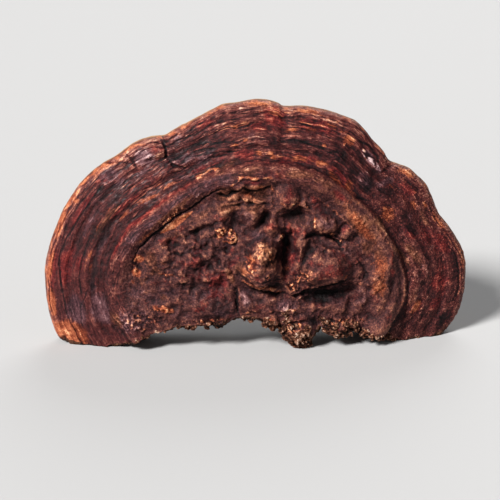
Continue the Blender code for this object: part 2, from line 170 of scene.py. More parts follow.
# Broad swellings, which fade out at their foot: X, Z, half-width, half-height, turn, height.
SWELLINGS = (
    (-2, 64, 22, 26, 0, 5.0), (-20, 66, 12, 15, 0, 2.0), (-6, 122, 22, 8, 5, 3.0),
    (-60, 62, 28, 24, 20, 2.5), (-66, 38, 32, 16, 8, 2.0), (-30, 98, 24, 14, 20, 2.5),
    (-118, 24, 20, 24, 0, 1.2), (-74, 140, 12, 7, 15, 2.6), (62, 94, 20, 13, -40, 2.0),
    (48, 64, 25, 19, -8, 6.0), (84, 50, 12, 21, 4, 6.0), (84, 30, 10, 10, 0, 3.5),
    (28, 77, 9, 20, -10, 4.5), (-6, 99, 8, 8, 0, 3.5), (7.5, 90.5, 6.5, 9, -10, 5.0),
    (-14, 118, 7, 5.5, 0, 3.0), (-3, 118, 7, 5.5, 0, 3.2), (-19, 111.5, 6, 3.6, 0, 2.6),
    (-10, 111.5, 5, 3.6, 0, 2.6), (-2, 108.5, 7, 4, -10, 3.0), (13.7, 81.5, 4.5, 5, 0, 4.5),
    (34, 55, 10, 10, 0, 4.0), (36, 70, 8, 9, 20, 2.5), (-35, 55, 11, 8, 0, 3.6),
    (-49, 67, 9, 7, 20, 3.6), (-36, 72, 8, 6, -10, 3.6), (-56, 56, 9, 7, 0, 3.0),
    (-45, 80, 9, 6, 20, 3.0), (-27, 62, 7, 6, 0, 2.6), (-66, 72, 8, 7, 30, 2.4),
    (-9, 35, 10, 9, 0, 3.2), (4, 34, 8, 8, 0, 2.4), (18, 32, 11, 7, 0, 3.4),
    (49, 32, 18, 9, 0, 2.6), (-36, 34, 20, 11, 0, 3.0), (62, 72, 9, 7, -30, 2.0),
    (30, 105, 6, 5, -30, 2.6), (60, 84, 7, 8, -30, 2.5), (-26, 99, 8, 6, 20, 2.2),
)

# Broad hollows between the lumps: X, Z, half-width, half-height, turn, depth.
HOLLOWS = (
    (18.5, 75, 8.5, 21, -8, 10.0), (22, 97, 15, 8, 0, 6.5), (1, 95, 4.6, 9, -32, 4.2),
    (-6, 88.5, 8, 4, 25, 2.8), (48, 40.5, 24, 8, 14, 8.0), (66, 40, 8, 15, -10, 3.5),
    (99, 46, 9, 32, 2, 4.0), (-16, 98, 5, 4, 0, 2.0), (48, 79, 15, 6, -8, 3.4),
    (31, 71, 4.5, 11, -30, 2.0), (-14, 92, 11, 6, 20, 2.5), (2, 42.5, 19, 4, -6, 3.0),
    (-62, 80, 10, 5, 40, 2.5), (-42, 88, 14, 5, 25, 3.0),
    (34, 20, 20, 5, 0, 2.5), (-20, 104, 12, 3, 5, 1.6), (-62, 32, 5, 6, -40, 2.0),
    (58, 88, 4, 10, -40, 1.6), (-26, 76, 7, 5, 0, 2.4),
)

# Lumps with a clear foot: X, Z, half-width, half-height, turn, height.
LUMPS = (
    (0.5, 73, 10.5, 10.5, 0, 11.5), (0, 61, 14, 14, 0, 9.5), (17, 111.5, 9.5, 9, 0, 5.5),
    (45, 91.5, 9, 7.5, 0, 6.5), (46, 60, 19, 14, -8, 5.0), (7, 23, 5, 5, 0, 4.0),
    (29, 15, 12, 12, 0, 4.6), (54, 14, 9, 6, 0, 2.8), (84, 14, 11, 7, 0, 2.4),
    (-28, 89, 5, 4.5, 0, 3.2), (-21, 84, 4.5, 5.5, 0, 2.6), (19, 87, 2.8, 6, 0, 2.5),
)

# Lines that show both in the relief and in the colours: X, Z along each.
LONG_CRACK = (
    (-24, 117), (-31, 115.5), (-40, 111), (-48.5, 104), (-58, 98.5), (-68.5, 91), (-77, 83.5),
    (-86, 73), (-91, 66),
)
LEDGE = ((-20, 120), (-15, 125), (-7, 126.5), (1, 125.5), (6.5, 125))
RIGHT_SEAM = ((34, 113), (45, 106), (55, 98), (64, 89), (72, 80))
TOP_CLEFT = ((-30, 113), (-22, 112.5), (-15, 116), (-11, 118.5), (-7, 116), (0, 117), (6, 119))
LOWER_TOP_CLEFT = ((-22, 106), (-11, 105), (-5, 107.5), (5, 106))
LOBE_CLEFT = ((28, 82), (40, 83), (50, 80.5), (56, 76))
SLANTED_CLEFT = ((27, 62), (33, 72), (40, 76.5))
SHORT_CLEFT = ((40, 73), (47, 74.5), (57, 74))
UPRIGHT_CLEFT = ((-20, 51), (-17.2, 44), (-18, 36), (-15.6, 27))

# Raised lines: half-width, height, the line.
RIDGES = (
    (1.1, 1.4, LEDGE),
    (1.2, 0.5, RIGHT_SEAM),
    (1.2, 1.1, ((38, 95), (38, 88), (42, 86), (48, 86), (52, 82), (59, 76))),
    (8.0, 2.4, ((101, 86), (111, 67), (115, 48), (113, 30), (106, 12))),
    (0.9, 0.9, ((6.5, 118), (6.3, 111), (8.5, 104))),
    (1.4, 0.6, ((-110, 16), (-116, 38), (-116, 56), (-110, 76), (-100, 92), (-86, 105))),
    (1.4, 0.8, ((146, 57), (149, 43), (148, 27), (145, 16))),
    (1.5, 1.0, ((-17, 61), (-12, 51), (-3, 47), (8, 46), (15, 46.5))),
    (0.9, 0.7, ((-1, 53), (8, 52), (15, 56))),
    (0.8, 0.6, ((-3, 50.5), (8, 49.5), (16, 52))),
    (1.6, 1.2, ((-75, 34), (-68, 33), (-62, 29))),
    (3.6, 1.4, ((-23, 52), (-22, 40), (-20, 28))),
)

# Clefts and cracks: half-width, depth, how much wider the side left of the line's run is
# than the other, and the line.
CLEFTS = (
    (1.3, 1.6, 0.8, LONG_CRACK),
    (1.5, 1.8, 1.4, TOP_CLEFT),
    (1.6, 0.8, 1.3, LOWER_TOP_CLEFT),
    (3.6, 4.2, 0.45, ((20, 41), (31, 43), (42, 45), (52, 47.5), (61, 53))),
    (1.2, 0.8, 1.4, ((-12, 48.5), (-5, 45.5), (2, 43), (20, 41.5))),
    (2.2, 1.8, 1.6, LOBE_CLEFT),
    (1.8, 1.2, 1.2, SLANTED_CLEFT),
    (1.6, 1.1, 1.0, SHORT_CLEFT),
    (4.6, 0.8, 0.9, ((82, 90), (93, 72), (99, 63), (102, 50), (102, 40), (98, 30), (88, 17))),
    (0.8, 0.8, 1.0, ((-10, 52), (0, 49), (8, 48), (16, 50))),
    (1.0, 1.0, 1.0, ((-1, 55), (8, 54), (14, 58))),
    (1.0, 0.8, 1.0, UPRIGHT_CLEFT),
    (1.2, 2.0, 1.0, ((-65, 151), (-66, 143), (-66, 137), (-60, 131), (-50, 130))),
    (1.0, 1.3, 1.0, ((-92, 142), (-89, 134), (-85, 128))),
    (3.0, 0.9, 1.0, ((18, 171), (19, 156))),
    (2.4, 1.3, 1.0, ((97, 131), (91, 126), (87, 123))),
)


def closed_curve(points, steps):
    """A smooth closed curve through the points, with a number of steps from each to the next."""
    points = np.array(points, float)
    before = np.roll(points, 1, axis=0)
    after = np.roll(points, -1, axis=0)
    beyond = np.roll(points, -2, axis=0)
    curve = []
    for step in range(steps):
        t = step / steps
        curve.append(0.5 * (2 * points + (after - before) * t
                            + (2 * before - 5 * points + 4 * after - beyond) * t ** 2
                            + (3 * points - before - 3 * after + beyond) * t ** 3))
    return np.stack(curve, axis=1).reshape(-1, points.shape[1])


def even_points(curve, count):
    """The closed curve at equal spacing along its first two coordinates."""
    closed = np.vstack([curve, curve[:1]])
    length = np.hypot(*np.diff(closed[:, :2], axis=0).T)
    along = np.concatenate([[0.0], np.cumsum(length)])
    places = np.linspace(0.0, along[-1], count, endpoint=False)
    return np.column_stack([np.interp(places, along, column) for column in closed.T])


def radius_by_angle(points):
    """A function that gives the closed outline's distance from the growth centre by angle."""
    curve = closed_curve(points, CURVE_STEPS) - GROWTH_CENTRE
    angle = np.arctan2(curve[:, 1], curve[:, 0])
    order = np.argsort(angle)
    radius = np.hypot(curve[:, 0], curve[:, 1])
    return lambda a: np.interp(a, angle[order], radius[order], period=2 * math.pi)


RIM_RADIUS = radius_by_angle(RIM + RINGS_BELOW)
OLD_CAP_RADIUS = radius_by_angle(OLD_CAP_EDGE)


def smooth(value):
    """Ease from 0 to 1, held outside that range."""
    value = np.clip(value, 0.0, 1.0)
    return value * value * (3 - 2 * value)


def growth(x, z):
    """Place among the rings: angle, share of the way to the rim, the same past the older cap's
    edge only, millimetres past that edge and millimetres in from the rim."""
    angle = np.arctan2(z - GROWTH_CENTRE[1], x - GROWTH_CENTRE[0])
    reach = np.hypot(x - GROWTH_CENTRE[0], z - GROWTH_CENTRE[1])
    rim = RIM_RADIUS(angle)
    old = OLD_CAP_RADIUS(angle)
    return angle, reach / rim, (reach - old) / (rim - old), reach - old, rim - reach


def rough(a, b, c, size, octaves=1):
    """Fixed unevenness, about -1 to 1, with features of about the given size. A number added to
    one of the coordinates gives another pattern of the same kind."""
    places = zip((a / size).tolist(), (b / size).tolist(), (c / size).tolist())
    if octaves == 1:
        return np.array([noise.noise(place) for place in places])
    return np.array([noise.fractal(place, 0.8, 2.0, octaves) for place in places])


def billows(a, b, c, size):
    """Rounded bumps of about the given size with creases between them: 0 there, 1 on top."""
    return np.clip(np.abs(rough(a, b, c, size)) * 2.2, 0.0, 1.0) ** 0.7


def oval(x, z, row):
    """Distance from an oval's middle as a share of its own half-widths."""
    cx, cz, half_width, half_height, turn = row[:5]
    c, s = math.cos(math.radians(turn)), math.sin(math.radians(turn))
    return np.hypot(((x - cx) * c + (z - cz) * s) / half_width, ((z - cz) * c - (x - cx) * s) / half_height)


def place_on_line(x, z, line):
    """Distance to an open line of straight runs, share of the way along it, and its left side."""
    runs = np.diff(np.array(line, float), axis=0)
    lengths = np.hypot(*runs.T)
    starts = np.concatenate([[0.0], np.cumsum(lengths)])
    best = np.full(x.shape, np.inf)
    share = np.zeros(x.shape)
    left = np.zeros(x.shape, bool)
    for (ax, az), run, length, start in zip(line, runs, lengths, starts):
        part = np.clip(((x - ax) * run[0] + (z - az) * run[1]) / length ** 2, 0.0, 1.0)
        gap = np.hypot(x - ax - part * run[0], z - az - part * run[1])
        nearer = gap < best
        best = np.where(nearer, gap, best)
        share = np.where(nearer, (start + part * length) / starts[-1], share)
        left = np.where(nearer, run[0] * (z - az) - run[1] * (x - ax) > 0, left)
    return best, share, left


def line_relief(x, z, half_width, height, lopsided, line, vary):
    """How much one line raises or sinks each point, fading out at the line's two ends."""
    gap, share, left = place_on_line(x, z, line)
    taper = np.clip(5 * share * (1 - share), 0.05, 1.0) ** 0.5
    width = half_width * taper * (1 + 0.45 * vary) * np.where(left, lopsided, 1.0)
    return height * taper * np.clip(1 - (gap / width) ** 2, 0.0, 1.0) ** 1.3


def wander(x, z):
    """The place shifted a little, so that no feature is a neat oval or a straight run."""
    flat = np.zeros(x.shape)
    x_shift = 1.6 * rough(x, flat + 31, z, 9.0) + 0.8 * rough(x, flat + 83, z, 3.6)
    z_shift = 1.6 * rough(x, flat + 57, z, 9.0) + 0.8 * rough(x, flat + 97, z, 3.6)
    return x + x_shift, z + z_shift


def front_y(x, z):
    """The lacquered face, front to back, at each X, Z."""
    flat = np.zeros(x.shape)
    _, share, zone, past_old_edge, _ = growth(x, z)
    dome = DOME * (1 - np.clip(share, 0, 1) ** 2.4) ** 0.9
    step = OLD_CAP_STEP * smooth(0.5 - past_old_edge / 4.0)
    step += ROLL_HEIGHT * np.exp(-((past_old_edge + 6.5) / 5.0) ** 2)
    step *= 1 - LOST_AT_FOOT * smooth((-x - 88.0) / 14.0) * smooth((76.0 - z) / 26.0)
    hollow_inside = 4.0 * smooth((-past_old_edge - 8.0) / 12.0)
    in_zone = smooth(zone * 6) * smooth((1 - zone) * 5)
    terraces = in_zone * (0.7 * np.cos(zone * 5.0 * math.pi) + 0.35 * np.cos(zone * 11.0 * math.pi + 1.0))
    uneven = 1.1 * rough(x, flat + 7.3, z, 26.0) + 1.2 * rough(x, flat, z, 11.0) * smooth(1.4 - share)
    proud = dome + step - hollow_inside + terraces + uneven

    x, z = wander(x, z)
    for row in SWELLINGS:
        proud += row[5] * np.clip(1 - oval(x, z, row) ** 2, 0.0, 1.0) ** 2
    for row in HOLLOWS:
        proud -= row[5] * np.clip(1 - oval(x, z, row) ** 2, 0.0, 1.0) ** 1.5
    lump = np.zeros(x.shape)
    for row in LUMPS:
        rise = row[5] * (1 - oval(x, z, row) ** 2.4)
        lump = 0.5 * (lump + rise + np.sqrt((lump - rise) ** 2 + LUMP_BLEND))
    vary = rough(x, flat + 3.0, z, 6.0)
    raised = [line_relief(x, z, width, height, 1.0, line, vary) for width, height, line in RIDGES]
    sunk = [line_relief(x, z, *row, vary) for row in CLEFTS]
    proud += lump + np.max(raised, axis=0) - np.max(sunk, axis=0)
    return LIP_Y - LIP_HALF_THICK - proud + LEAN * (z - LEAN_FOOT_Z)


def back_y(x, z):
    """The pore face, front to back, at each X, Z."""
    _, share, _, _, _ = growth(x, z)
    dome = BACK_DOME * (1 - np.clip(share, 0, 1) ** 2.0) ** 0.8
    far = np.full(x.shape, 400.0)
    uneven = 1.2 * rough(x, far, z, 34.0) + 0.6 * rough(x, far, z, 13.0)
    return LIP_Y + LIP_HALF_THICK + dome + uneven + LEAN * (z - LEAN_FOOT_Z)


def edge_rings():
    """Rings of points from the front face over the lip or the torn edge to the pore face, how
    torn each column is, and how far in from the rim each ring lies (negative at the back)."""
    points = [(x, z, z, 0.0) for x, z in RIM] + [(x, front, back, 1.0) for x, front, back in TORN_EDGE]
    line = even_points(closed_curve(points, OUTLINE_STEPS), COLUMNS)
    torn = np.clip(line[:, 3], 0.0, 1.0)
    lip_round = LIP_ROUND + (CUT_ROUND - LIP_ROUND) * torn
    squareness = 2.0 + 4.0 * torn

    def inset(z_column):
        place = line[:, (0, z_column)]
        inward = GRID_CENTRE - place
        inward /= np.linalg.norm(inward, axis=1)[:, None]
        return place, inward, place + inward * lip_round[:, None]

    front_place, front_inward, front_start = inset(1)
    back_place, back_inward, back_start = inset(2)
    front_lip = front_y(*front_start.T)
    back_lip = back_y(*back_start.T)
    half = (back_lip - front_lip) / 2

    rings = [np.column_stack([front_start[:, 0], front_lip, front_start[:, 1]])]
    depths = [lip_round]
    for step in range(1, EDGE_STEPS):
        even = 2 * step / EDGE_STEPS - 1
        share = math.sin(even * math.pi / 2) * (1 - torn) + even * torn
        inset_by = lip_round * (1 - (1 - np.abs(share) ** squareness) ** (1 / squareness))
        to_back = smooth(0.5 + 0.9 * share)[:, None]
        place = front_place + (back_place - front_place) * to_back
        inward = front_inward + (back_inward - front_inward) * to_back
        at = place + inward * inset_by[:, None]
        depth = (front_lip + back_lip) / 2 + half * share
        roof = torn * smooth((at[:, 1] - 3.0) / 4.0)
        at[:, 1] += TORN_ROUGH * roof * rough(at[:, 0], depth, np.zeros(COLUMNS), 7.0)
        rings.append(np.column_stack([at[:, 0], depth, at[:, 1]]))
        depths.append(inset_by * np.where(share < 0, 1, -1))
    rings.append(np.column_stack([back_start[:, 0], back_lip, back_start[:, 1]]))
    depths.append(-lip_round)
    for ring in rings:
        ring[:, 2] = np.where(ring[:, 2] < FLOOR_SNAP, 0.0, ring[:, 2])
    return rings, torn, depths


def inside(points, loop):
    """The points that lie inside the loop and clear of it."""
    keep = []
    start, end = loop, np.roll(loop, -1, axis=0)
    rise = np.where(end[:, 1] == start[:, 1], 1.0, end[:, 1] - start[:, 1])
    slope = (end[:, 0] - start[:, 0]) / rise
    for part in np.array_split(points, max(1, len(points) // BATCH)):
        x, z = part[:, :1], part[:, 1:]
        crosses = (start[:, 1] > z) != (end[:, 1] > z)
        within = (crosses & (x < start[:, 0] + (z - start[:, 1]) * slope)).sum(axis=1) % 2 == 1
        gap = np.hypot(x - start[:, 0], z - start[:, 1]).min(axis=1)
        keep.append(part[within & (gap > CLEAR_OF_EDGE)])
    return np.vstack(keep)


def even_grid(spacing):
    """Points in even rows, every other row shifted by half a step, over the whole outline."""
    columns = np.arange(-GRID_REACH[0], GRID_REACH[0], spacing)
    rows = np.arange(0.0, GRID_REACH[1], spacing * math.sqrt(3) / 2)
    x, z = np.meshgrid(columns, rows)
    x = x + (np.arange(len(rows)) % 2)[:, None] * spacing / 2
    return np.column_stack([x.ravel(), z.ravel()])


def front_points():
    """Points of the front face: rings where the cap grew in rings, an even grid in the middle."""
    ring_angles = np.radians(np.arange(*RING_SWEEP))
    direction = np.column_stack([np.cos(ring_angles), np.sin(ring_angles)])
    old, rim = OLD_CAP_RADIUS(ring_angles), RIM_RADIUS(ring_angles)
    rows = round(ZONE_WIDTH / RING_GAP)
    points = []
    for row in range(rows):
        curve = GROWTH_CENTRE + direction * (old + (rim - old) * row / rows)[:, None]
        along = np.concatenate([[0.0], np.cumsum(np.hypot(*np.diff(curve, axis=0).T))])
        places = np.arange((row % 2) * RING_SPACING / 2, along[-1], RING_SPACING)
        points.append(np.column_stack([np.interp(places, along, axis) for axis in curve.T]))
    grid = even_grid(MIDDLE_SPACING)
    points.append(grid[growth(*grid.T)[3] < -RING_GAP])
    return np.vstack(points)


def filled(loop, points):
    """Triangles over a loop and the points inside it, numbered loop first, counter-clockwise."""
    flat = np.vstack([loop, points])
    edges = [(i, (i + 1) % len(loop)) for i in range(len(loop))]
    _, _, triangles, *_ = delaunay_2d_cdt([Vector(point) for point in flat], edges, [], INSIDE_ONLY, CLOSEST)
    triangles = np.array(triangles)
    a, b, c = (flat[triangles[:, i]] for i in range(3))
    clockwise = (b[:, 0] - a[:, 0]) * (c[:, 1] - a[:, 1]) < (b[:, 1] - a[:, 1]) * (c[:, 0] - a[:, 0])
    triangles[clockwise] = triangles[clockwise][:, ::-1]
    return triangles


def cap_skin():
    """The skin's points and triangles and, for each point, how torn it is, whether it is on the
    back, and how far in from the rim it is."""
    rings, torn, depths = edge_rings()
    loops = [ring[:, (0, 2)] for ring in (rings[0], rings[-1])]
    front = inside(front_points(), loops[0])
    back = inside(even_grid(BACK_SPACING), loops[1])
    points = np.vstack(rings + [np.column_stack([front[:, 0], front_y(*front.T), front[:, 1]]),
                                np.column_stack([back[:, 0], back_y(*back.T), back[:, 1]])])
    faces = []
    column = np.arange(COLUMNS)
    beside = (column + 1) % COLUMNS
    for ring in range(len(rings) - 1):
        a, b = ring * COLUMNS, (ring + 1) * COLUMNS
        faces.append(np.column_stack([a + column, a + beside, b + beside]))
        faces.append(np.column_stack([a + column, b + beside, b + column]))
    edge_count = len(rings) * COLUMNS
    front_faces = filled(loops[0], front)
    faces.append(np.where(front_faces < COLUMNS, front_faces, front_faces - COLUMNS + edge_count))
    back_faces = filled(loops[1], back)[:, ::-1]
    last_ring = edge_count - COLUMNS
    back_start = edge_count + len(front) - COLUMNS
    faces.append(np.where(back_faces < COLUMNS, back_faces + last_ring, back_faces + back_start))
    torn_at = np.concatenate([np.tile(torn, len(rings)), np.zeros(len(front) + len(back))])
    ring_back = np.linspace(0.0, 1.0, len(rings))
    on_back = np.concatenate([np.repeat(ring_back, COLUMNS), np.zeros(len(front)), np.ones(len(back))])
    from_rim = np.concatenate([np.concatenate(depths), growth(*front.T)[4], -growth(*back.T)[4]])
    return points, np.vstack(faces), torn_at, on_back, from_rim


def outward(points, faces):
    """The skin's own direction at each point."""
    a, b, c = (points[faces[:, i]] for i in range(3))
    across = np.cross(b - a, c - a)
    total = np.zeros(points.shape)
    for corner in faces.T:
        for axis in range(3):
            total[:, axis] += np.bincount(corner, across[:, axis], len(points))
    return total / np.linalg.norm(total, axis=1)[:, None]


def proud_of_neighbours(points, faces, direction, rounds):
    """How far each point stands out from its surroundings, which widen with each round."""
    here, there = faces.ravel(), np.roll(faces, -1, axis=1).ravel()
    count = np.bincount(here, minlength=len(points))
    soft = points
    for _ in range(rounds):
        soft = np.column_stack([np.bincount(here, soft[there, axis], len(points)) / count
                                for axis in range(3)])
    return ((points - soft) * direction).sum(axis=1)


ALONG_RADIUS = 120.0        # a usual radius of the rings, which makes an angle millimetres
LACQUER_ENDS = 0.42         # share of the way over the lip
LACQUER_FADE = 0.16
SCAR_HEIGHT = 7.0           # how far up the back the torn tissue reaches, and how unevenly
SCAR_UNEVEN = 5.0
PEBBLY_PLACE = (-45, 65, 26, 20, 10)

points, faces, torn_at, on_back, from_rim = cap_skin()
x, y, z = points.T
angle, _, zone, past_old_edge, _ = growth(x, z)
degrees = (np.degrees(angle) + 60) % 360 - 60
ring_place = (1 - zone) * ZONE_WIDTH        # millimetres in from the rim, as the rings run
along = np.radians(degrees) * ALONG_RADIUS
flat = np.zeros(len(points))
facing = 1 - smooth((on_back - LACQUER_ENDS) / LACQUER_FADE)
cut_x, cut_back_z = np.array(sorted((row[0], row[2]) for row in TORN_EDGE), float).T
above_cut = z - np.interp(x, cut_x, cut_back_z)
scar = smooth((SCAR_HEIGHT + SCAR_UNEVEN * rough(x, y + 11, z, 12.0, 2) - above_cut) / 4.0) * (1 - facing)
torn_at = np.maximum(torn_at, scar)
on_front = facing * (1 - torn_at)
pore_side = (1 - facing) * (1 - torn_at)
in_rings = on_front * smooth(past_old_edge / 3.0 + 0.5)
in_middle = on_front - in_rings
ring_wobble = 1.5 * rough(along, ring_place, flat + 2, 16.0) + 0.7 * rough(along, ring_place, flat + 9, 5.5)
ring_place = ring_place + ring_wobble

# Colour places on the face, in the same wandering coordinates as the relief. Each row of an
# oval: X, Z, half-width, half-height, turn, strength. Each row of a line: half-width,
# strength, the line. First the reddish places, then the grey ones, part dust and part painted
# sheen, and then the ochre ones.
RED_OVALS = (
    (-30, 53, 10, 9, 0, 1.0), (-38, 57, 13, 6, 10, 0.5), (-51, 57, 9, 5, 0, 0.4),
    (-46, 67, 16, 10, 15, 0.45), (-40, 74, 10, 5, 10, 0.5), (-3, 59, 5, 4, 0, 0.9), (-8, 68, 5, 7, 0, 0.6),
    (25, 83, 6, 12, -8, 0.5), (21, 67, 5, 9, 0, 0.6), (19, 88, 3.4, 6, 0, 0.7), (-7, 123, 10, 2.4, 0, 0.5),
    (17.5, 112, 8, 8, 0, 0.4), (7, 92, 4, 4.5, 0, 0.5), (60, 88, 5, 7, -20, 0.3), (50, 61, 16, 10, 0, 0.4),
    (-45, 31, 9, 4, 0, 0.6), (93, 58, 3, 18, 0, 0.6), (-20, 70, 6, 8, 0, 0.5), (32, 66, 6, 10, 0, 0.4),
    (-34, 44, 9, 5, 0, 0.5), (40, 104, 10, 5, -40, 0.4), (-30, 97, 6, 3, 10, 0.4),
    (10, 127, 12, 4, -5, 0.5), (55, 112, 10, 4, -40, 0.5), (22, 66, 8, 22, -8, 0.4),
    (-62, 84, 14, 6, 40, 0.3), (60, 62, 14, 12, 0, 0.3),
)
# Grey places: part grey dust, part painted sheen on the lacquer.
GREY_AND_SHEEN_OVALS = (
    (-66, 90.5, 20, 3.6, 36, 0.6), (-42, 103, 11, 5, 30, 0.6), (-72, 82, 7, 4, 40, 0.6),
    (-62, 45, 13, 5, 0, 0.6), (-80, 40, 12, 7, 0, 0.5), (-42, 41, 16, 7, 0, 0.6),
    (-28, 29.5, 6, 3.4, 10, 0.9), (-10, 39, 5, 7, 0, 0.8), (0, 33, 8, 5, 0, 0.4), (17, 34, 10, 5, 0, 0.7),
    (70, 38, 7, 14, 0, 0.5), (56, 35, 10, 6, 0, 0.4), (45, 93, 7, 5, 0, 0.6), (-8, 97, 5, 6, 0, 0.6),
    (-4, 85, 9, 5, 0, 0.7), (-22, 78, 6, 4, 0, 0.6), (10, 125, 18, 4, -8, 0.4), (-27, 123, 9, 5, 10, 0.7),
    (61, 73, 8, 6, 0, 0.4), (-94, 22, 16, 12, 0, 0.8), (-115, 31, 9, 14, 0, 1.2), (-11, 42, 6, 5, 0, 1.2),
    (17, 34, 8, 5, 0, 1.2), (-88, 43, 8, 7, 0, 0.6), (-84, 30, 8, 5, 0, 0.5), (24, 114, 3, 5, 0, 0.3),
    (-60, 27, 10, 4, 0, 0.4), (11, 66, 2.6, 5, 0, 0.4), (-15, 88, 4, 3, 0, 0.5), (-52, 35, 8, 5, 0, 0.4),
    (30, 93, 5, 4, 0, 0.3),
)
OCHRE_OVALS = (
    (-78, 68, 7, 7, 0, 0.9), (-74, 59, 7, 6, 0, 0.8), (-68, 66, 4, 4, 0, 0.7), (-22, 57, 3, 10, 20, 0.9),
    (-68, 41, 4, 3.4, 0, 0.7), (-22, 104, 12, 6, 10, 1.0), (-4, 104, 10, 4, 0, 0.8),
    (-25, 113, 8, 6, 20, 1.0), (-8, 113, 18, 9, 0, 1.0), (-60, 104, 24, 2.2, 38, 1.0),
    (38, 118, 14, 4, -25, 0.5), (-58, 84, 9, 5, 40, 0.4), (-15, 62, 6, 8, 10, 0.8), (42, 34, 10, 4, 0, 0.4),
    (-84, 52, 6, 5, 0, 0.5), (76, 73, 7, 8, 0, 0.7), (28, 93, 8, 6, 0, 0.4), (84, 66, 6, 14, 10, 0.8),
    (84, 46, 7, 12, 0, 0.9), (70, 90, 24, 7, -50, 1.0), (5, 70, 9, 11, 0, 0.8), (-50, 97, 9, 2.6, 38, 0.4),
    (-66, 80, 8, 5, 40, 0.5), (-40, 100, 12, 4, 30, 0.6), (31, 57, 8, 8, 0, 0.5), (-4, 118, 16, 5, 0, 0.7),
    (0, 48, 14, 3, -10, 0.7), (86, 30, 6, 8, 0, 0.4),
)
# Orange-brown places, where the lacquer is thin.
ORANGE_OVALS = (
    (-86, 67.5, 4.4, 3.8, 0, 1.5), (-87, 58, 3.6, 4.2, 0, 1.4), (-90, 51, 1.8, 2.4, 0, 0.7),
    (84, 59, 8, 12, 0, 0.7), (84, 45, 8, 10, 0, 0.75), (70, 90, 22, 5, -50, 0.8),
    (0, 118.5, 6.5, 3.2, 0, 0.7), (-10, 113, 7, 2.6, 0, 0.6), (-8, 69, 4.6, 7, 10, 0.7),
    (-13, 61, 4, 5.5, 0, 0.6), (0, 48, 12, 2.2, -10, 0.6), (18, 60, 2.2, 2.8, 0, 0.6),
    (-66, 57.5, 5.4, 1.4, 5, 0.7), (-69, 32.5, 9, 2.6, -18, 1.4), (37.5, 93, 1.6, 5, 0, 0.7),
    (23, 31.5, 2.6, 1.3, 0, 0.9), (-32, 23.5, 11, 2.4, 5, 0.5), (6, 24, 4, 3.6, 0, 0.7),
    (60, 106, 6, 8, -57, 0.4), (-60, 100, 18, 1.2, 38, 0.8), (66, 110, 10, 3, -50, 0.4),
    (-80, 84, 10, 1.2, 42, 0.8), (40, 33, 12, 2, 0, 0.3), (26, 51, 8, 6, 20, 0.4),
)
# Places that are darker than the skin round them: mostly painted shade in hollows, in clefts,
# under overhangs and on the knob's shaded side, with a few broad darker patches of the lacquer.
# Below them places that are paler: pale chips and painted sheen.
DARK_AND_SHADE_OVALS = (
    (-43, 66, 26, 14, 10, 0.35), (-55, 46, 30, 12, 0, 0.15), (22, 97.5, 8, 4.4, 0, 1.0),
    (18, 75, 3.6, 15, -8, 1.0), (14.5, 66, 2.6, 8, 0, 0.9), (3, 96, 2, 5.6, -32, 0.9),
    (-38, 80.5, 7, 2.2, 15, 1.0), (-56, 70.5, 6, 1.6, -30, 0.8), (-70, 61, 3.4, 2.6, 0, 0.9),
    (-75, 53, 5, 3, 0, 0.7), (-17, 95.5, 3.4, 3.6, 0, 0.9), (-34, 93.5, 5, 2.6, 0, 0.7),
    (-46, 79, 5, 1.6, 20, 0.8), (58, 49.5, 6, 5, 0, 1.5), (48, 46, 13, 3.0, 13, 1.3),
    (28, 43, 8, 1.6, 5, 0.9), (37, 20, 4, 8, 0, 1.4), (58, 36, 5, 3.4, 0, 0.7), (12, 48, 7, 2.4, -20, 0.7),
    (4, 54, 8, 2.4, 0, 0.6), (-60, 26, 4, 2.4, 0, 0.6), (43, 81.5, 8, 1.8, 0, 0.8),
    (54, 78.5, 4, 1.6, -40, 0.8), (-8, 122, 7, 1.2, 0, 0.8), (99, 48, 2, 22, 2, 0.7),
    (45, 38, 18, 6.5, 5, 2.0), (-27, 29, 18, 11, 0, 0.9), (43, 114, 20, 10, -30, 0.3),
    (9, 67, 6, 9, 0, 0.6), (-59, 28, 2.6, 6, 0, 0.6), (24, 71, 1.4, 7, -10, 0.6), (-35, 87, 2.6, 4, 0, 0.5),
    (-63, 76, 5, 1.6, 30, 0.6), (-32, 62, 7, 1.4, 10, 0.6), (-50, 50, 9, 1.6, -8, 0.4),
    (31, 23, 3, 3, 0, 0.6), (50, 20.5, 3, 1.6, 0, 1.0),
)
# Paler places: pale chips, and painted sheen on the lacquer of the rings and of lumps.
PALE_AND_SHEEN_OVALS = (
    (-97, 24, 12, 9, 0, 0.8), (-11, 42, 5, 4.4, 0, 0.9), (17, 34, 7, 4, 0, 0.2), (-115, 30, 8, 14, 0, 0.9),
    (-84, 136, 26, 13, 38, 0.6), (0, 150, 40, 14, 0, 0.4), (110, 50, 6, 26, 8, 0.6),
    (-135, 14, 11, 12, 0, 0.9), (-86, 67.5, 4, 3.6, 0, 1.2), (-87, 58, 3.4, 4, 0, 1.2),
)
# Pale chips, where the skin has come off.
CHIPS = (
    (1.5, 76.5, 7.5, 5.8, 0, 0.72), (-9, 63, 2.6, 5, 15, 0.5), (-4, 70, 3, 3, 0, 0.5),
    (-27.5, 87.5, 5.0, 4.2, 0, 0.8), (-20.5, 84.5, 3.6, 5, 0, 0.6), (-20, 110.5, 3.0, 0.9, 5, 0.5),
    (-2, 109, 4.0, 1.1, -15, 0.7), (-41, 125.5, 6, 1.3, 22, 1.0), (-33, 129, 5.0, 1.3, 15, 1.0),
    (-86, 67.5, 3.6, 3.0, 0, 0.6), (-87, 58, 2.8, 3.4, 0, 0.5), (26.5, 18.5, 2.4, 2.2, 0, 1.0),
    (-67, 32, 6.5, 2.2, -18, 0.5), (95, 82, 1.4, 2.6, 20, 0.5),
)
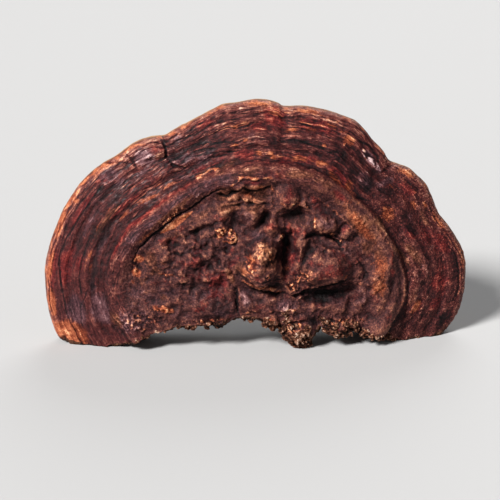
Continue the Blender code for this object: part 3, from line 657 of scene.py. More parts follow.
# Crumbly places, where pale bits stand up between dark pits.
CRUMBLY = (
    (-28, 87.5, 6, 6, 0, 1.0), (-20, 84, 5, 7, 0, 0.9), (-34, 85, 4, 3, 30, 0.6), (0.5, 77, 6, 5.4, 0, 0.4),
    (6, 70, 4, 6, 30, 0.8), (-8, 64, 5, 9, 0, 0.7), (4, 58.5, 3.4, 4.4, 0, 0.8), (0, 48, 15, 3, -8, 0.6),
    (20, 106, 8, 3.4, 8, 0.7), (32, 105, 2.6, 3, 0, 0.9), (-11, 110, 11, 3, 0, 0.5),
    (-8, 126, 14, 2.4, 0, 0.4), (29, 55, 10, 7, 30, 0.9), (22, 48, 8, 5, 0, 1.0), (38, 48, 12, 3, 12, 0.5),
    (44, 86.5, 7, 2, -5, 0.9), (51, 83.5, 5, 2.4, -45, 0.9), (57, 78, 4, 2, -50, 0.8),
    (37.5, 92, 2, 5, 0, 0.8), (14, 83, 3, 5, -30, 0.8), (-88, 60, 4, 12, 0, 0.6), (-68, 57, 8, 3, 0, 0.6),
    (-70, 32, 10, 3, -12, 0.7), (83, 50, 5, 16, 0, 0.4), (70, 92, 16, 4, -57, 0.3), (71, 50, 3, 5, 0, 0.6),
    (18, 33, 10, 5, 0, 0.6), (67, 62, 5, 4, 0, 0.4), (-63, 98.5, 20, 2.4, 36, 0.9),
    (-88, 22, 24, 12, 5, 0.6), (60, 20, 34, 5, 0, 0.7), (-40, 23, 26, 3, 4, 0.6),
    (88, 80, 10, 2.4, -60, 0.5), (24, 18, 12, 14, 0, 0.7), (-75, 62, 12, 12, 0, 0.3),
    (-8, 30, 10, 2.4, 0, 0.6),
)
RUST_LINES = (
    (0.9, 0.9, LEDGE), (0.7, 0.6, ((-21, 110), (-12, 110), (-4, 108))),
    (0.6, 0.9, ((-3, 74), (-8, 70), (-4.5, 68), (-10, 65), (-5, 63.5), (-11, 60), (-9, 55))),
    (0.8, 0.8, ((37.5, 96), (37, 90), (39, 86.5))),
    (0.9, 0.7, ((-14, 53), (-8, 49), (-2, 47), (6, 45.5), (13, 42.5))),
    (1.0, 0.6, ((14, 107), (20, 105), (27, 103))), (0.8, 0.7, ((42, 47), (52, 50), (60, 55))),
    (0.7, 0.5, RIGHT_SEAM), (0.7, 0.7, ((-72, 56.5), (-66, 57.5), (-61, 56))),
    (0.9, 1.0, ((-27, 81), (-23, 80), (-18, 80.5), (-17, 84))),
    (0.8, 1.0, ((-23, 86), (-21.5, 88.5), (-18.5, 88), (-17.5, 85), (-18, 82))),
    (0.6, 0.6, ((7, 120), (8, 113), (9.5, 106), (7, 104))), (0.7, 0.4, ((-16, 46), (-15.6, 38), (-14, 28))),
)
# Dark lines along the clefts and cracks: painted shade in them.
CLEFT_SHADE_LINES = (
    (0.6, 0.8, LONG_CRACK), (0.8, 0.8, TOP_CLEFT), (0.6, 0.5, LOWER_TOP_CLEFT), (0.7, 0.7, LOBE_CLEFT),
    (0.6, 0.5, SLANTED_CLEFT), (0.6, 0.5, SHORT_CLEFT), (0.6, 0.5, ((-5, 45.5), (2, 43), (20, 41.5))),
    (0.6, 0.5, UPRIGHT_CLEFT), (0.7, 0.7, ((8, 56), (2, 54.5), (-4, 55.5))),
    (0.7, 0.7, ((14, 54), (6, 51.5), (-4, 52))), (0.6, 0.6, ((67, 66), (72, 60), (75, 52))),
    (0.7, 0.5, ((-64, 75), (-57, 71), (-50, 74))),
)
# The orange-brown chip along the inner crack: one lens between its two ends.
CHIP_ENDS = ((-47.5, 101.5), (-70.5, 85.5))
CHIP_HALF_WIDTH = 2.8

# Colour places in the rings: degrees about the growth centre, millimetres in from the rim,
# the two half-widths in the same units, strength.
RING_RED = (
    (177, 15, 8, 7, 1.0), (175, 12, 4, 3, 1.0), (176, 24, 5, 4, 0.7), (178, 5, 8, 5, 0.9),
    (121.5, 29.5, 4, 2.4, 0.9), (100, 33, 6, 5, 0.9), (111.5, 5, 4.5, 5, 0.7), (86, 9, 5, 9, 1.0),
    (71, 11, 10, 6, 1.0), (-4, 22, 7, 9, 0.7), (-12, 22, 4, 7, 0.6), (152, 31, 9, 3, 0.6),
    (148, 8, 4, 4, 0.6), (30, 12, 8, 5, 0.5), (10, 16, 9, 10, 0.6), (52, 36, 9, 5, 0.9),
    (75, 34, 13, 4, 0.9), (-14, 36, 4, 5, 1.0), (160, 10, 9, 3, 0.7), (130, 8, 5, 4, 0.6),
    (120, 42, 12, 3, 0.5), (112, 30, 5, 3, 0.6), (15, 28, 6, 4, 0.5), (92, 17, 4, 4, 0.6),
)
# Grey places in the rings: part grey dust, part painted sheen on the lacquer.
RING_GREY_AND_SHEEN = (
    (190.5, 21, 6, 9, 1.2), (192.5, 40, 5.5, 8, 1.3), (146.5, 10, 4, 10, 0.9), (147, 17, 3, 2.4, 1.0),
    (135, 10.5, 4.5, 8, 1.2), (122, 5, 3, 3, 0.8), (48.5, 9, 3, 3, 1.0), (42, 10, 2.4, 2.4, 1.0),
    (2, 33, 6, 5, 0.4), (-7, 37, 4, 4, 0.4), (37, 15, 3, 8, 0.7), (123, 18, 8, 4, 0.7),
    (114, 22, 3, 3, 1.0), (118, 25, 6, 4, 0.7), (168, 34, 8, 4, 0.6), (97, 20, 5, 4, 0.4),
    (155, 15, 5, 3, 0.6), (184, 35, 5, 5, 0.6), (44, 22, 5, 6, 0.6), (140, 18, 5, 3, 0.6),
    (163, 20, 8, 2.4, 0.6), (20, 20, 3, 5, 0.4), (61, 26, 5, 4, 0.4), (128, 32, 6, 3, 0.5),
)
RING_ORANGE = (
    (198, 9, 6, 16, 1.8), (188, 4, 5, 4.4, 1.3), (178, 3.4, 7, 3.6, 0.9), (166, 2.2, 7, 2.2, 0.9),
    (158, 3.5, 1.2, 3.5, 0.9), (155, 36.5, 4, 2, 0.9), (145, 37.5, 7, 2.2, 1.0), (136, 35, 5, 2, 0.9),
    (163, 26, 2, 1.4, 0.7), (157, 26, 2, 1.4, 0.7), (172, 29, 2.4, 1.4, 0.8), (177, 33, 2.4, 1.6, 0.7),
    (101, 14, 1.8, 1.8, 1.0), (100, 13.5, 8, 3, 0.5), (103, 26, 2.4, 1.8, 0.8), (98, 24, 2, 1.8, 0.8),
    (93, 34, 2.6, 3.2, 1.0), (92, 1.5, 6, 2, 0.9), (86, 6, 4, 1.8, 1.0), (80, 15, 3, 2.2, 0.8),
    (72, 14, 3, 2.2, 0.8), (75, 2, 6, 2, 0.9), (66, 8, 3, 2.4, 0.8), (57.5, 13, 3, 5, 0.9),
    (87, 34.5, 3, 3, 0.9), (75, 34, 6, 3, 1.0), (64, 34, 4, 3, 1.0), (55, 38.5, 6, 3.6, 1.0),
    (47.5, 33, 3, 5, 0.9), (66, 22, 1.6, 1.8, 0.8), (34.5, 2.5, 3, 3, 1.0), (22, 8, 2, 2.2, 0.8),
    (15, 4, 5, 2.2, 0.8), (24, 15, 2.2, 3, 0.7), (26, 35, 4, 7, 0.9), (28.5, 34, 2.2, 2.4, 1.0),
    (-13.5, 37, 4, 4, 1.0), (17, 46, 3, 2.4, 0.8), (147, 3, 6, 2.6, 0.6), (3, 3, 8, 2, 0.6),
)
RING_BROWN = (
    (195.5, 48, 4.5, 5, 1.0), (160, 28.5, 10, 3, 0.8), (18, 12, 4, 4, 0.7), (7.5, 44.5, 8, 2.6, 0.9),
    (32, 48, 7, 5, 0.9), (17, 56, 4, 3, 0.8), (-10, 50, 8, 2, 0.6), (110, 36, 8, 3, 0.6),
    (75, 43, 15, 3.6, 0.7), (7.5, 36, 8, 6, 0.8), (25, 44, 7, 5, 0.8), (100, 43, 10, 4, 0.6),
    (50, 46, 8, 4, 0.6), (120, 33, 6, 3, 0.6), (60, 45, 8, 4, 0.6), (-10, 42, 6, 4, 0.5),
)
RING_DARK = (
    (165, 30, 6, 9, 0.8), (179, 37, 6, 6, 0.9), (131, 21, 3, 3.6, 0.9), (126, 16, 4, 3, 0.9),
    (118, 17, 6, 3, 0.8), (110, 20, 4, 3.6, 0.8), (86.5, 25, 3, 5, 1.0), (76, 24, 6, 4.6, 1.0),
    (58.5, 25, 7, 6, 1.1), (47.5, 5, 7, 1.4, 1.0), (41.5, 22, 4, 7, 1.2), (34, 22, 4, 7, 1.0),
    (22, 25, 3, 6, 0.6), (30, 8, 3, 3, 0.7), (17, 25, 3, 5, 0.9), (-16.5, 10, 4, 5, 1.3),
    (60, 20, 5, 2.6, 0.8), (150, 24, 8, 2.2, 0.7), (140, 27, 8, 2.4, 0.5), (104, 28, 4, 2.4, 0.5),
    (52, 14, 4, 3, 0.7), (0, 9, 6, 3.6, 0.6), (152, 17, 5, 2, 0.6), (170, 20, 6, 2.2, 0.7),
    (96, 28, 3, 2.6, 0.5), (66, 27, 4, 4, 0.8), (50, 24, 4, 6, 0.9), (8, 28, 4, 4, 0.4),
)
RING_TAN = (
    (198, 7, 3.6, 9, 0.8), (197, 18, 3, 1.4, 0.8), (101, 14.5, 1.4, 1.4, 0.9), (93, 1.6, 6, 1.4, 0.5),
    (120, 6, 0.8, 1.6, 0.6), (158, 3, 1.0, 2.6, 0.6), (28.5, 34, 2, 2, 0.8), (34, 2.4, 2, 2, 0.7),
    (48.5, 12, 1.4, 0.6, 1.0), (51, 9.5, 1.6, 0.5, 0.8), (-13, 32, 3, 0.8, 0.5), (58, 17, 1.2, 1.6, 0.6),
    (145, 16.5, 4, 0.9, 0.4), (66, 22, 1.2, 1.6, 0.7), (93, 35, 1.6, 1.6, 0.6), (64, 34, 2, 1, 0.6),
    (21, 3, 5, 1.4, 0.4), (98, 19, 0.8, 3, 0.4), (-17, 35, 2, 1, 0.6), (147, 5, 1.6, 3, 0.3),
)
# One glossy place with a painted glint, streaked pale and dark.
RING_GLINT = ((46.4, 10.4, 7.4, 3.0, 1.0),)

DEGREE = 2.2                # millimetres along the rings
RING_LINE_WIDTH = 0.6       # the lines there are thinner than their rows say, by this factor
# Lines in the rings: half-width, strength, degrees and millimetres in from the rim.
RING_DARK_LINES = (
    (0.8, 0.9, ((201, 15.5), (192, 14.5), (184, 12.5), (178, 10.5), (174, 8.5), (170, 9.5), (164, 11.5),
                (158, 12.5), (150, 11))),
    (0.6, 0.7, ((190, 2.5), (180, 2.8), (170, 2.4), (160, 3.0), (150, 4.2), (142, 5))),
    (0.6, 0.7, ((185, 4.8), (175, 5.0), (168, 5.6), (160, 6.8), (152, 7.6))),
    (0.6, 0.9, ((139, 3), (136, 4), (130, 3), (127, 3.6), (122, 2.5), (118, 4), (114, 3.2), (108, 4.4),
                (100, 5))),
    (0.7, 0.9, ((138, 7.0), (133, 5.4), (128, 7.2), (124, 5.8), (120, 6.4), (116, 8.2), (111, 7),
                (105, 9))),
    (0.6, 0.7, ((125, 9), (121, 9.4), (117, 11.4), (112, 10), (107, 12.5), (101, 12))),
    (0.8, 0.8, ((126, 0), (127, 7), (129, 15), (133, 18))),
    (0.8, 0.8, ((132, 22), (128, 17.5), (122, 14.5), (117, 14.5), (112, 17), (108, 21), (103, 24))),
    (0.7, 0.7, ((132, 26), (127, 20.8), (121, 17.6), (115, 18.6), (110, 22.5), (105, 26))),
    (0.7, 0.7, ((131, 29.5), (126, 24.6), (120, 21), (114, 22.4), (109, 26), (104, 29.5))),
    (0.7, 0.6, ((130, 32), (125, 28), (119, 24.6), (113, 26.4), (107, 30))),
    (0.9, 1.0, ((76, 11.2), (71, 12.0), (66, 11.4), (62, 11.6))),
    (0.9, 1.0, ((54, 8), (52, 5.2), (49, 4.2), (46, 5), (44, 7.5))),
    (1.0, 0.9, ((84, 22), (78, 21.5), (72, 23), (66, 24.5), (62, 26))),
    (0.9, 0.9, ((7, 8.5), (0, 7.2), (-6, 7), (-10, 9))),
    (0.6, 0.6, ((22, 5), (12, 5.4), (4, 4.6), (-4, 4.2))),
    (0.7, 0.7, ((185, 26), (180, 25), (173, 25.5), (166, 24.4))),
    (0.7, 0.6, ((196, 22), (190, 24), (184, 31))), (1.0, 0.7, ((144, 0), (140.5, 6), (139, 12))),
    (0.8, 0.6, ((90, 5), (84, 6.4), (78, 5.6), (70, 7))),
    (0.8, 0.6, ((58, 32), (50, 31), (42, 32), (36, 34))), (0.7, 0.5, ((160, 30), (150, 28), (142, 30))),
)
RING_RUST_LINES = (
    (0.7, 1.0, ((77, 9.8), (72, 10.8), (68, 9.8), (63, 10.2), (60, 9))),
    (0.8, 0.6, ((182, 28), (176, 29), (172, 27.5), (165, 27), (158, 25.5))),
    (0.8, 0.7, ((152, 36), (143, 33), (137, 31))), (0.7, 0.7, ((150, 39), (140, 36), (133, 34), (128, 36))),
    (0.7, 0.8, ((193, 3.6), (180, 3.8), (165, 4.0), (150, 3), (140, 3.4))),
    (0.8, 0.8, ((95, 3), (84, 3.4), (78, 2.4), (70, 3.6), (62, 4.6))),
    (0.6, 0.7, ((92, 6.6), (84, 7.6), (78, 7), (70, 8), (64, 8))),
    (0.7, 0.6, ((126, 34), (118, 36), (108, 36))), (1.0, 0.8, ((200, 18), (194, 17.2))),
    (0.7, 0.6, ((134, 12), (128, 11), (124, 12.5))),
    (0.7, 0.7, ((22, 6), (12, 6.4), (4, 5.8), (-4, 5.4), (-9, 6.6))),
    (0.7, 0.6, ((34, 8), (28, 10), (24, 8))), (0.7, 0.6, ((36, 14), (34, 18), (30, 20))),
    (1.2, 0.7, ((92, 33), (82, 31.5), (72, 33), (62, 37))),
    (0.6, 0.6, ((112, 13), (106, 14), (101, 16), (94, 15.6))),
    (0.6, 0.5, ((176, 13), (168, 14), (160, 14))),
)


def ovals(x, z, rows, sharpness=1.0):
    """The strongest of the ovals at each point, with soft edges."""
    best = np.zeros(x.shape)
    for row in rows:
        best = np.maximum(best, row[5] * smooth(sharpness * (1.2 - oval(x, z, row))))
    return best


def lines(x, z, rows):
    """The strongest of the lines at each point, with soft edges."""
    best = np.zeros(x.shape)
    for half_width, strength, line in rows:
        gap, _, _ = place_on_line(x, z, line)
        best = np.maximum(best, strength * smooth(1.4 - 0.9 * gap / half_width))
    return best


wx, wz = wander(x, z)
ring_degrees = degrees + 0.8 * rough(along, ring_place, flat + 16, 6.0)
ring_depth = from_rim + 0.9 * rough(along, ring_place, flat + 12, 7.0)
mottle = rough(x, y + 70, z, 8.0, 3)
speck = rough(x, y + 90, z, 1.7, 2)
left_side = smooth((degrees - 95) / 50) * smooth((215 - degrees) / 15)
broken = smooth(0.75 + 1.8 * rough(x, y + 61, z, 3.2, 2))       # where a thin line is worn away


def ring_ovals(rows, where=in_rings):
    """The strongest of the ovals in the rings at each point. They lie along the rings, unturned."""
    return where * ovals(ring_degrees, ring_depth, [(*row[:4], 0, row[4]) for row in rows])


def ring_lines(rows):
    """The strongest of the lines in the rings at each point."""
    scaled = [(RING_LINE_WIDTH * width, strength, [(d * DEGREE, depth) for d, depth in line])
              for width, strength, line in rows]
    return in_rings * lines(ring_degrees * DEGREE, ring_depth, scaled)


chip_gap, chip_share, _ = place_on_line(x, z, CHIP_ENDS)
chip = smooth(2.0 - 2.0 * chip_gap / (0.4 + CHIP_HALF_WIDTH * 4 * chip_share * (1 - chip_share)))
dark_rings = ring_ovals(RING_DARK)
# Growth lines in the rings, and painted shade along the clefts and cracks of the middle.
ring_lines_and_cleft_shade = np.maximum(ring_lines(RING_DARK_LINES), on_front * 0.8 * lines(wx, wz, CLEFT_SHADE_LINES))
# Painted shade in hollows, clefts and under overhangs, with a few broad darker patches.
dark_and_shade_places = on_front * ovals(wx, wz, DARK_AND_SHADE_OVALS)
rust_lines = broken * np.maximum(ring_lines(RING_RUST_LINES), on_front * lines(wx, wz, RUST_LINES))
crumbly = on_front * ovals(wx, wz, CRUMBLY, 0.8)
bits = smooth(0.4 + 1.9 * rough(x, y + 61, z, 2.2, 3))
tan = np.maximum(ring_ovals(RING_TAN), on_front * ovals(x + 1.2 * speck, z + 1.2 * mottle, CHIPS, 1.8))
tan = np.maximum(tan, crumbly * (0.1 + 0.9 * bits))
red = np.maximum(ring_ovals(RING_RED), in_middle * ovals(wx, wz, RED_OVALS))
ochre = np.maximum(ring_ovals(RING_BROWN, on_front), on_front * ovals(wx, wz, OCHRE_OVALS))
# A painted glint: pale streaks of painted reflection on the lacquer, darker lacquer between them.
glint_patch = ring_ovals(RING_GLINT)
glint_streaks = smooth(0.6 + 1.8 * rough(along / 3, ring_place, flat + 44, 1.4, 2))
glint = glint_patch * glint_streaks
orange = np.maximum(ring_ovals(RING_ORANGE), on_front * ovals(wx, wz, ORANGE_OVALS))
inside_edge = -past_old_edge + 0.8 * rough(along, ring_place, flat + 21, 6.0)
# The grey band on the roll of the older cap: part dust, part painted sheen.
roll_grey_and_sheen = smooth((inside_edge - 1.5) / 2.0) * smooth((11.0 - inside_edge) / 3.0) * on_front
roll_grey_and_sheen *= smooth((degrees - 92) / 20) * smooth((178 - degrees) / 16) * (0.8 + 0.5 * mottle)
roll_line = np.exp(-((inside_edge - 0.2) / 0.9) ** 2) * on_front * left_side * smooth((178 - degrees) / 12)
# Grey dust and painted sheen together, with the roll's band and the painted glint.
grey = np.maximum(ring_ovals(RING_GREY_AND_SHEEN), on_front * ovals(wx, wz, GREY_AND_SHEEN_OVALS))
grey = np.maximum(grey, np.maximum(0.7 * roll_grey_and_sheen, 1.2 * glint))
red = np.maximum(red, 0.8 * roll_line)
fringe = np.exp(-(np.maximum(from_rim, 0) / (1.7 + 1.1 * left_side)) ** 2) * on_front
fringe *= smooth((degrees + 26) / 30)

# Fine relief, outwards from the skin: fine growth lines in the rings, lumpy and wrinkled
# tissue in the middle, pits and shreds on the torn edge, a fine velvet on the pore face.
broad_line = rough(ring_place / 3.4, along / 60, flat, 1.0)
fine_line = rough(ring_place / 1.5, along / 34, flat + 5, 1.0)
line_dark = smooth(1 - np.abs(broad_line) / 0.09)
fine_dark = smooth(1 - np.abs(fine_line) / 0.10)
shift_a, shift_b = rough(x, y, z, 5.0), rough(x, y + 33, z, 5.0)
wide_bumps = billows(x + 2.2 * shift_a, y, z + 2.2 * shift_b, 8.0)
mid_bumps = 0.5 + 0.75 * rough(x, y + 50, z, 4.2) + 0.35 * rough(x, y + 52, z, 2.4)
small_bumps = billows(x + 0.7 * shift_a, y + 80, z, 1.9)
grain = rough(x, y, z, 2.6, 3)
patchy = smooth(0.5 + 1.6 * rough(x, y + 20, z, 17.0))
speckled = in_rings * smooth((50 - degrees) / 14)
near_rim = np.exp(-np.maximum(ring_place, 0) / 12)
ring_relief = (0.2 + 0.5 * near_rim) * (broad_line - 0.6 * line_dark + 0.6 * fine_line - 0.4 * fine_dark)
ring_relief += 0.35 * (billows(along / 6, ring_place / 3.0, flat, 1.0) - 0.5) + 0.20 * grain
ring_relief += 0.22 * (small_bumps - 0.5) + 0.35 * (mid_bumps - 0.6)
ring_relief += 0.25 * rough(along / 2.6, ring_place / 11, flat + 8, 1.0)
ring_relief *= 1 - 0.55 * speckled
ring_relief += speckled * (0.5 * (mid_bumps - 0.6) + 0.4 * (small_bumps - 0.5) + 0.4 * grain)
rolled = smooth((-past_old_edge - 13) / 8)
pebbly = smooth(1.8 - 1.2 * oval(x, z, PEBBLY_PLACE))
soft_lumps = rough(x, y + 40, z, 9.0) + 0.5 * rough(x, y + 45, z, 4.5)
middle_relief = rolled * (1.3 * soft_lumps + 0.5 * patchy * (wide_bumps - 0.6)
                          + 1.6 * pebbly * (mid_bumps - 0.5))
middle_relief += (0.2 + 0.6 * rolled) * (mid_bumps - 0.6) + 0.36 * (small_bumps - 0.6) + 0.35 * grain
torn_relief = 1.3 * rough(x, y, z, 5.0, 4) + 0.8 * (small_bumps - 0.6)
back_place = from_rim + 2.0 * rough(along, ring_place, flat + 3, 30.0)
back_rings = np.cos(back_place * 0.42) * np.exp(from_rim / 45)
back_relief = 0.45 * back_rings + 0.40 * rough(x, y, z, 7.0) + 0.15 * rough(x, y, z, 3.0)
fine = 0.65 * in_rings * ring_relief + in_middle * middle_relief + torn_at * torn_relief
fine += pore_side * back_relief
fine += crumbly * (bits - 0.4) * 1.5 + 0.4 * tan - 0.35 * ring_lines_and_cleft_shade + 0.2 * rust_lines
normal = outward(points, faces)
on_floor = z <= 0.0
shift = normal * fine[:, None]
shift[on_floor] = 0.0
points = points + shift
points[:, 2] = np.maximum(points[:, 2], 0.0)
normal = outward(points, faces)
crest = proud_of_neighbours(points, faces, normal, 3)
swell = proud_of_neighbours(points, faces, normal, 45)

# How light each point is, as a place on a ramp of one colour: 0 its darkest, 1 its palest.
roll = on_front * smooth((past_old_edge + 15) / 9) * smooth((degrees - 40) / 30)
# Lighter: painted rim light along the fringe, strongest on the right; rust lines, the roll's edge line,
# orange places, chips, paler places and the painted glint.
bright = (0.12 - 0.03 * left_side) * fringe + 0.11 * rust_lines + 0.07 * roll_line
bright += (0.04 * np.minimum(orange, 1) + 0.46 * glint + 0.26 * chip
           + 0.10 * on_front * ovals(wx, wz, PALE_AND_SHEEN_OVALS))
tone = 0.50 + in_middle * (0.01 + 0.02 * ochre) + 0.03 * (red + grey) - 0.10 * roll_grey_and_sheen + bright
tone -= 0.16 * crumbly * (1 - bits)
# Darker: the dark streaks of the painted glint, dark ring zones, ring lines, and painted shade in clefts,
# hollows and under overhangs.
tone -= (0.35 * glint_patch * (1 - glint_streaks) + 0.24 * dark_rings
         + 0.34 * ring_lines_and_cleft_shade * (1 + 0.5 * speck) + 0.20 * dark_and_shade_places)
# Painted shade and highlight: darker in hollows and paler on crests, by how far each point sinks below or
# stands out from its surroundings, near and wide.
tone += on_front * (np.clip(0.32 * crest, -0.36, 0.20) + np.clip(0.055 * swell, -0.22, 0.08))
# Random mottling in the middle; the rings lighter towards their top, and painted sheen on the upper left of
# them.
tone += 0.08 * in_middle * mottle + 0.06 * in_rings * np.exp(-((degrees - 92) / 30) ** 2)
tone += 0.07 * in_rings * np.exp(-((degrees - 140) / 14) ** 2)
orange = np.maximum(np.maximum(orange, 1.4 * chip), 0.6 * crumbly)
edge_worn = smooth(2.0 * (rough(along / 6, from_rim / 2, flat + 33, 1.0) + 0.25))
orange = np.maximum(orange, np.maximum((0.8 + 0.2 * left_side) * fringe * edge_worn, 0.9 * rust_lines))
calm = in_rings * np.maximum(np.maximum(smooth((degrees - 150) / 16), fringe), speckled)
gloss = in_rings * np.clip(0.35 + 0.5 * grey + 0.5 * left_side * smooth((degrees - 105) / 20), 0, 1)
margin = (1 - facing) * smooth((10 + from_rim + 4 * rough(along, ring_place, flat + 4, 14.0)) / 7)

print("skin", len(points), "points", len(faces), "triangles")
skin_data = bpy.data.meshes.new("cap_skin")
skin_data.from_pydata((points * MM).tolist(), [], faces.tolist())
skin_data.shade_smooth()
masks = {
    "tone": tone, "red": red, "grey": grey, "ochre": ochre, "orange": orange, "tan": tan,
    "gloss": gloss, "calm": calm, "speckled": speckled, "ringed": np.maximum(in_rings, 0.7 * roll),
    "torn": torn_at, "pore": pore_side, "margin": margin, "ring_place": ring_place, "along": along,
}
for name, values in masks.items():
    limits = (-1e4, 1e4) if name in ("ring_place", "along") else (0.0, 1.0)
    attribute = skin_data.attributes.new(name, "FLOAT", "POINT")
    attribute.data.foreach_set("value", np.clip(values, *limits).astype(np.float32))
cap_skin_piece = bpy.data.objects.new("cap_skin", skin_data)
bpy.context.scene.collection.objects.link(cap_skin_piece)


class Socket:
    """An output of a material's node, so that shader maths is written as expressions."""

    def __init__(self, tree, output=None):
        self.tree = tree
        self.output = output

    def node(self, kind, settings=(), sockets=(), output=0):
        """Add a node: its settings first, then its sockets' values or links. Gives one output."""
        new = self.tree.nodes.new(kind)
        for name, value in dict(settings).items():
            if name == "stops":
                while len(new.color_ramp.elements) < len(value):
                    new.color_ramp.elements.new(1.0)
                for element, (place, colour) in zip(new.color_ramp.elements, value):
                    element.position, element.color = place, colour
            else:
                setattr(new, name, value)
        for name, value in dict(sockets).items():
            if isinstance(value, Socket):
                self.tree.links.new(value.output, new.inputs[name])
            else:
                new.inputs[name].default_value = value
        return Socket(self.tree, new.outputs[output])

    def math(self, operation, *terms):
        """A maths node's result for the terms."""
        return self.node("ShaderNodeMath", {"operation": operation}, enumerate(terms))

    def __add__(self, other):
        return self.math("ADD", self, other)

    def __sub__(self, other):
        return self.math("SUBTRACT", self, other)

    def __rsub__(self, other):
        return self.math("SUBTRACT", other, self)

    def __mul__(self, other):
        return self.math("MULTIPLY", self, other)

    __radd__, __rmul__ = __add__, __mul__

    def eased(self, low, high):
        """This value eased from 0 at low to 1 at high."""
        return self.node("ShaderNodeMapRange", {"interpolation_type": "SMOOTHSTEP"},
                         {"Value": self, "From Min": low, "From Max": high})

    def ramp(self, stops):
        """The colour at this value, along rows of place and colour."""
        return self.node("ShaderNodeValToRGB", {"stops": stops}, {"Fac": self})

    def mask(self, name):
        """A named measure of the skin."""
        return self.node("ShaderNodeAttribute", {"attribute_name": name}, output="Fac")

    def noise(self, place, scale, detail, roughness=0.55):
        """Noise, about 0.25 to 0.75, at a place."""
        return self.node("ShaderNodeTexNoise", {}, {"Vector": place, "Scale": scale, "Detail": detail,
                                                    "Roughness": roughness}, "Fac")

    def along_rings(self, stretch):
        """A place for patterns that run with the rings: the way along them, shortened by a factor
        so that the pattern is drawn out, and the way across them."""
        return self.node("ShaderNodeCombineXYZ", {}, {"X": self.mask("along") * stretch,
                                                      "Y": self.mask("ring_place")})

    def mixed(self, colour, other, share):
        """One colour going over to another by a share."""
        return self.node("ShaderNodeMix", {"data_type": "RGBA"}, {0: share, 6: colour, 7: other}, 2)


def paint(red, green, blue):
    """A colour that is given as it looks on a screen, 0 to 255, in the light's own numbers."""
    levels = [level / 255 for level in (red, green, blue)]
    return tuple(v / 12.92 if v < 0.04045 else ((v + 0.055) / 1.055) ** 2.4 for v in levels) + (1.0,)


TONE_STEPS = (0.0, 0.20, 0.40, 0.54, 0.68, 0.84, 1.0)


def shades(*colours):
    """A ramp's stops from the darkest tone of a colour to its palest."""
    return tuple((place, paint(*colour)) for place, colour in zip(TONE_STEPS, colours))


MAHOGANY = shades((8, 5, 6), (24, 10, 12), (46, 19, 20), (70, 28, 28), (103, 54, 48), (152, 97, 82),
                  (208, 166, 140))
BROWN = shades((7, 4, 5), (24, 12, 13), (46, 24, 25), (72, 39, 38), (103, 61, 52), (154, 98, 76),
               (216, 164, 128))
RED = shades((10, 4, 6), (34, 8, 11), (60, 15, 18), (88, 24, 25), (120, 42, 38), (168, 84, 68),
             (216, 154, 124))
# The grey ramp: dust and painted sheen on the lacquer.
BLOOM_AND_SHEEN = shades((8, 5, 7), (25, 14, 18), (46, 27, 32), (70, 42, 47), (98, 66, 70), (148, 112, 114),
               (212, 184, 186))
ORANGE = shades((12, 5, 4), (44, 15, 9), (82, 32, 20), (116, 52, 32), (152, 80, 52), (198, 119, 80),
                (232, 174, 130))
OCHRE = shades((9, 5, 4), (34, 17, 13), (62, 32, 24), (94, 51, 38), (130, 79, 58), (182, 124, 94),
               (226, 178, 144))
# A pale lilac for dust and painted sheen.
DUST_AND_SHEEN = paint(156, 116, 118)
SOOT = paint(14, 8, 8)
CORK = paint(108, 70, 52)
PORES = paint(158, 118, 86)
BRUISED = paint(104, 66, 46)
MARGIN = paint(206, 168, 128)

# How fine the patterns are, in cells of noise per metre.
GRAIN_SCALE = 520.0
MOTTLE_SCALE = 200.0
BLOTCH_SCALE = 330.0
WIDE_HUE_SCALE = 125.0
PEPPER_SCALE = 1150.0
PORE_SCALE = 950.0
AGE_SCALE = 17.0
# The same for those that run with the rings, per millimetre, and how far they are drawn out.
HAIR_SCALE = 0.75
STREAK_SCALE = 0.32
BAND_SCALE = 0.13
LONG_LINE_SCALE = 0.42
ZONE_SCALE = 0.10
RING_STRETCH = 0.22
LONG_STRETCH = 0.06
BUMP_DEPTH = 0.0013         # metres

lacquer = bpy.data.materials.new("reishi_lacquer")
lacquer.use_nodes = True
shader = lacquer.node_tree.nodes["Principled BSDF"]
shader.inputs["Specular IOR Level"].default_value = 0.10
shader.inputs["Coat Roughness"].default_value = 0.34
nodes = Socket(lacquer.node_tree)
at = nodes.node("ShaderNodeTexCoord", output="Object")
ring_at = nodes.along_rings(RING_STRETCH)
hair_lines = nodes.noise(ring_at, HAIR_SCALE, 4.0)
streaks = nodes.noise(ring_at, STREAK_SCALE, 3.0)
fine_grain = nodes.noise(at, GRAIN_SCALE, 5.0, 0.65)
mottling = nodes.noise(at, MOTTLE_SCALE, 3.0)
blotches = nodes.noise(at, BLOTCH_SCALE, 4.0)
ringed = nodes.mask("ringed")
grain = (fine_grain - 0.5) * 2.0
patchy = (mottling - 0.5) * 2.0
hue = (blotches - 0.5) * 2.0
wide_hue = (nodes.noise(at, WIDE_HUE_SCALE, 4.0) - 0.5) * 2.0
pepper = (nodes.noise(at, PEPPER_SCALE, 3.0, 0.7) - 0.5) * 2.0
speckled = nodes.mask("speckled")
plain = 1.0 - ringed + speckled * 0.7
bands = (nodes.noise(ring_at, BAND_SCALE, 3.0) - 0.5) * 2.0
ring_grain = (hair_lines - 0.5) * 1.6 + (streaks - 0.5) * 1.4
long_lines = nodes.noise(nodes.along_rings(LONG_STRETCH), LONG_LINE_SCALE, 2.0)
calm = nodes.mask("calm")
lively = ringed * (1.0 - calm * 0.65)
dark_edges = nodes.math("ABSOLUTE", long_lines - 0.50).eased(0.055, 0.01) * streaks.eased(0.38, 0.56)
lit_edges = nodes.math("ABSOLUTE", long_lines - 0.59).eased(0.05, 0.01) * streaks.eased(0.46, 0.62)
lined = nodes.math("MINIMUM", ring_grain * 0.5, 0.13)
spread = grain * 0.19 + patchy * 0.17 + pepper * (plain * 0.22 + 0.22) + lined * lively
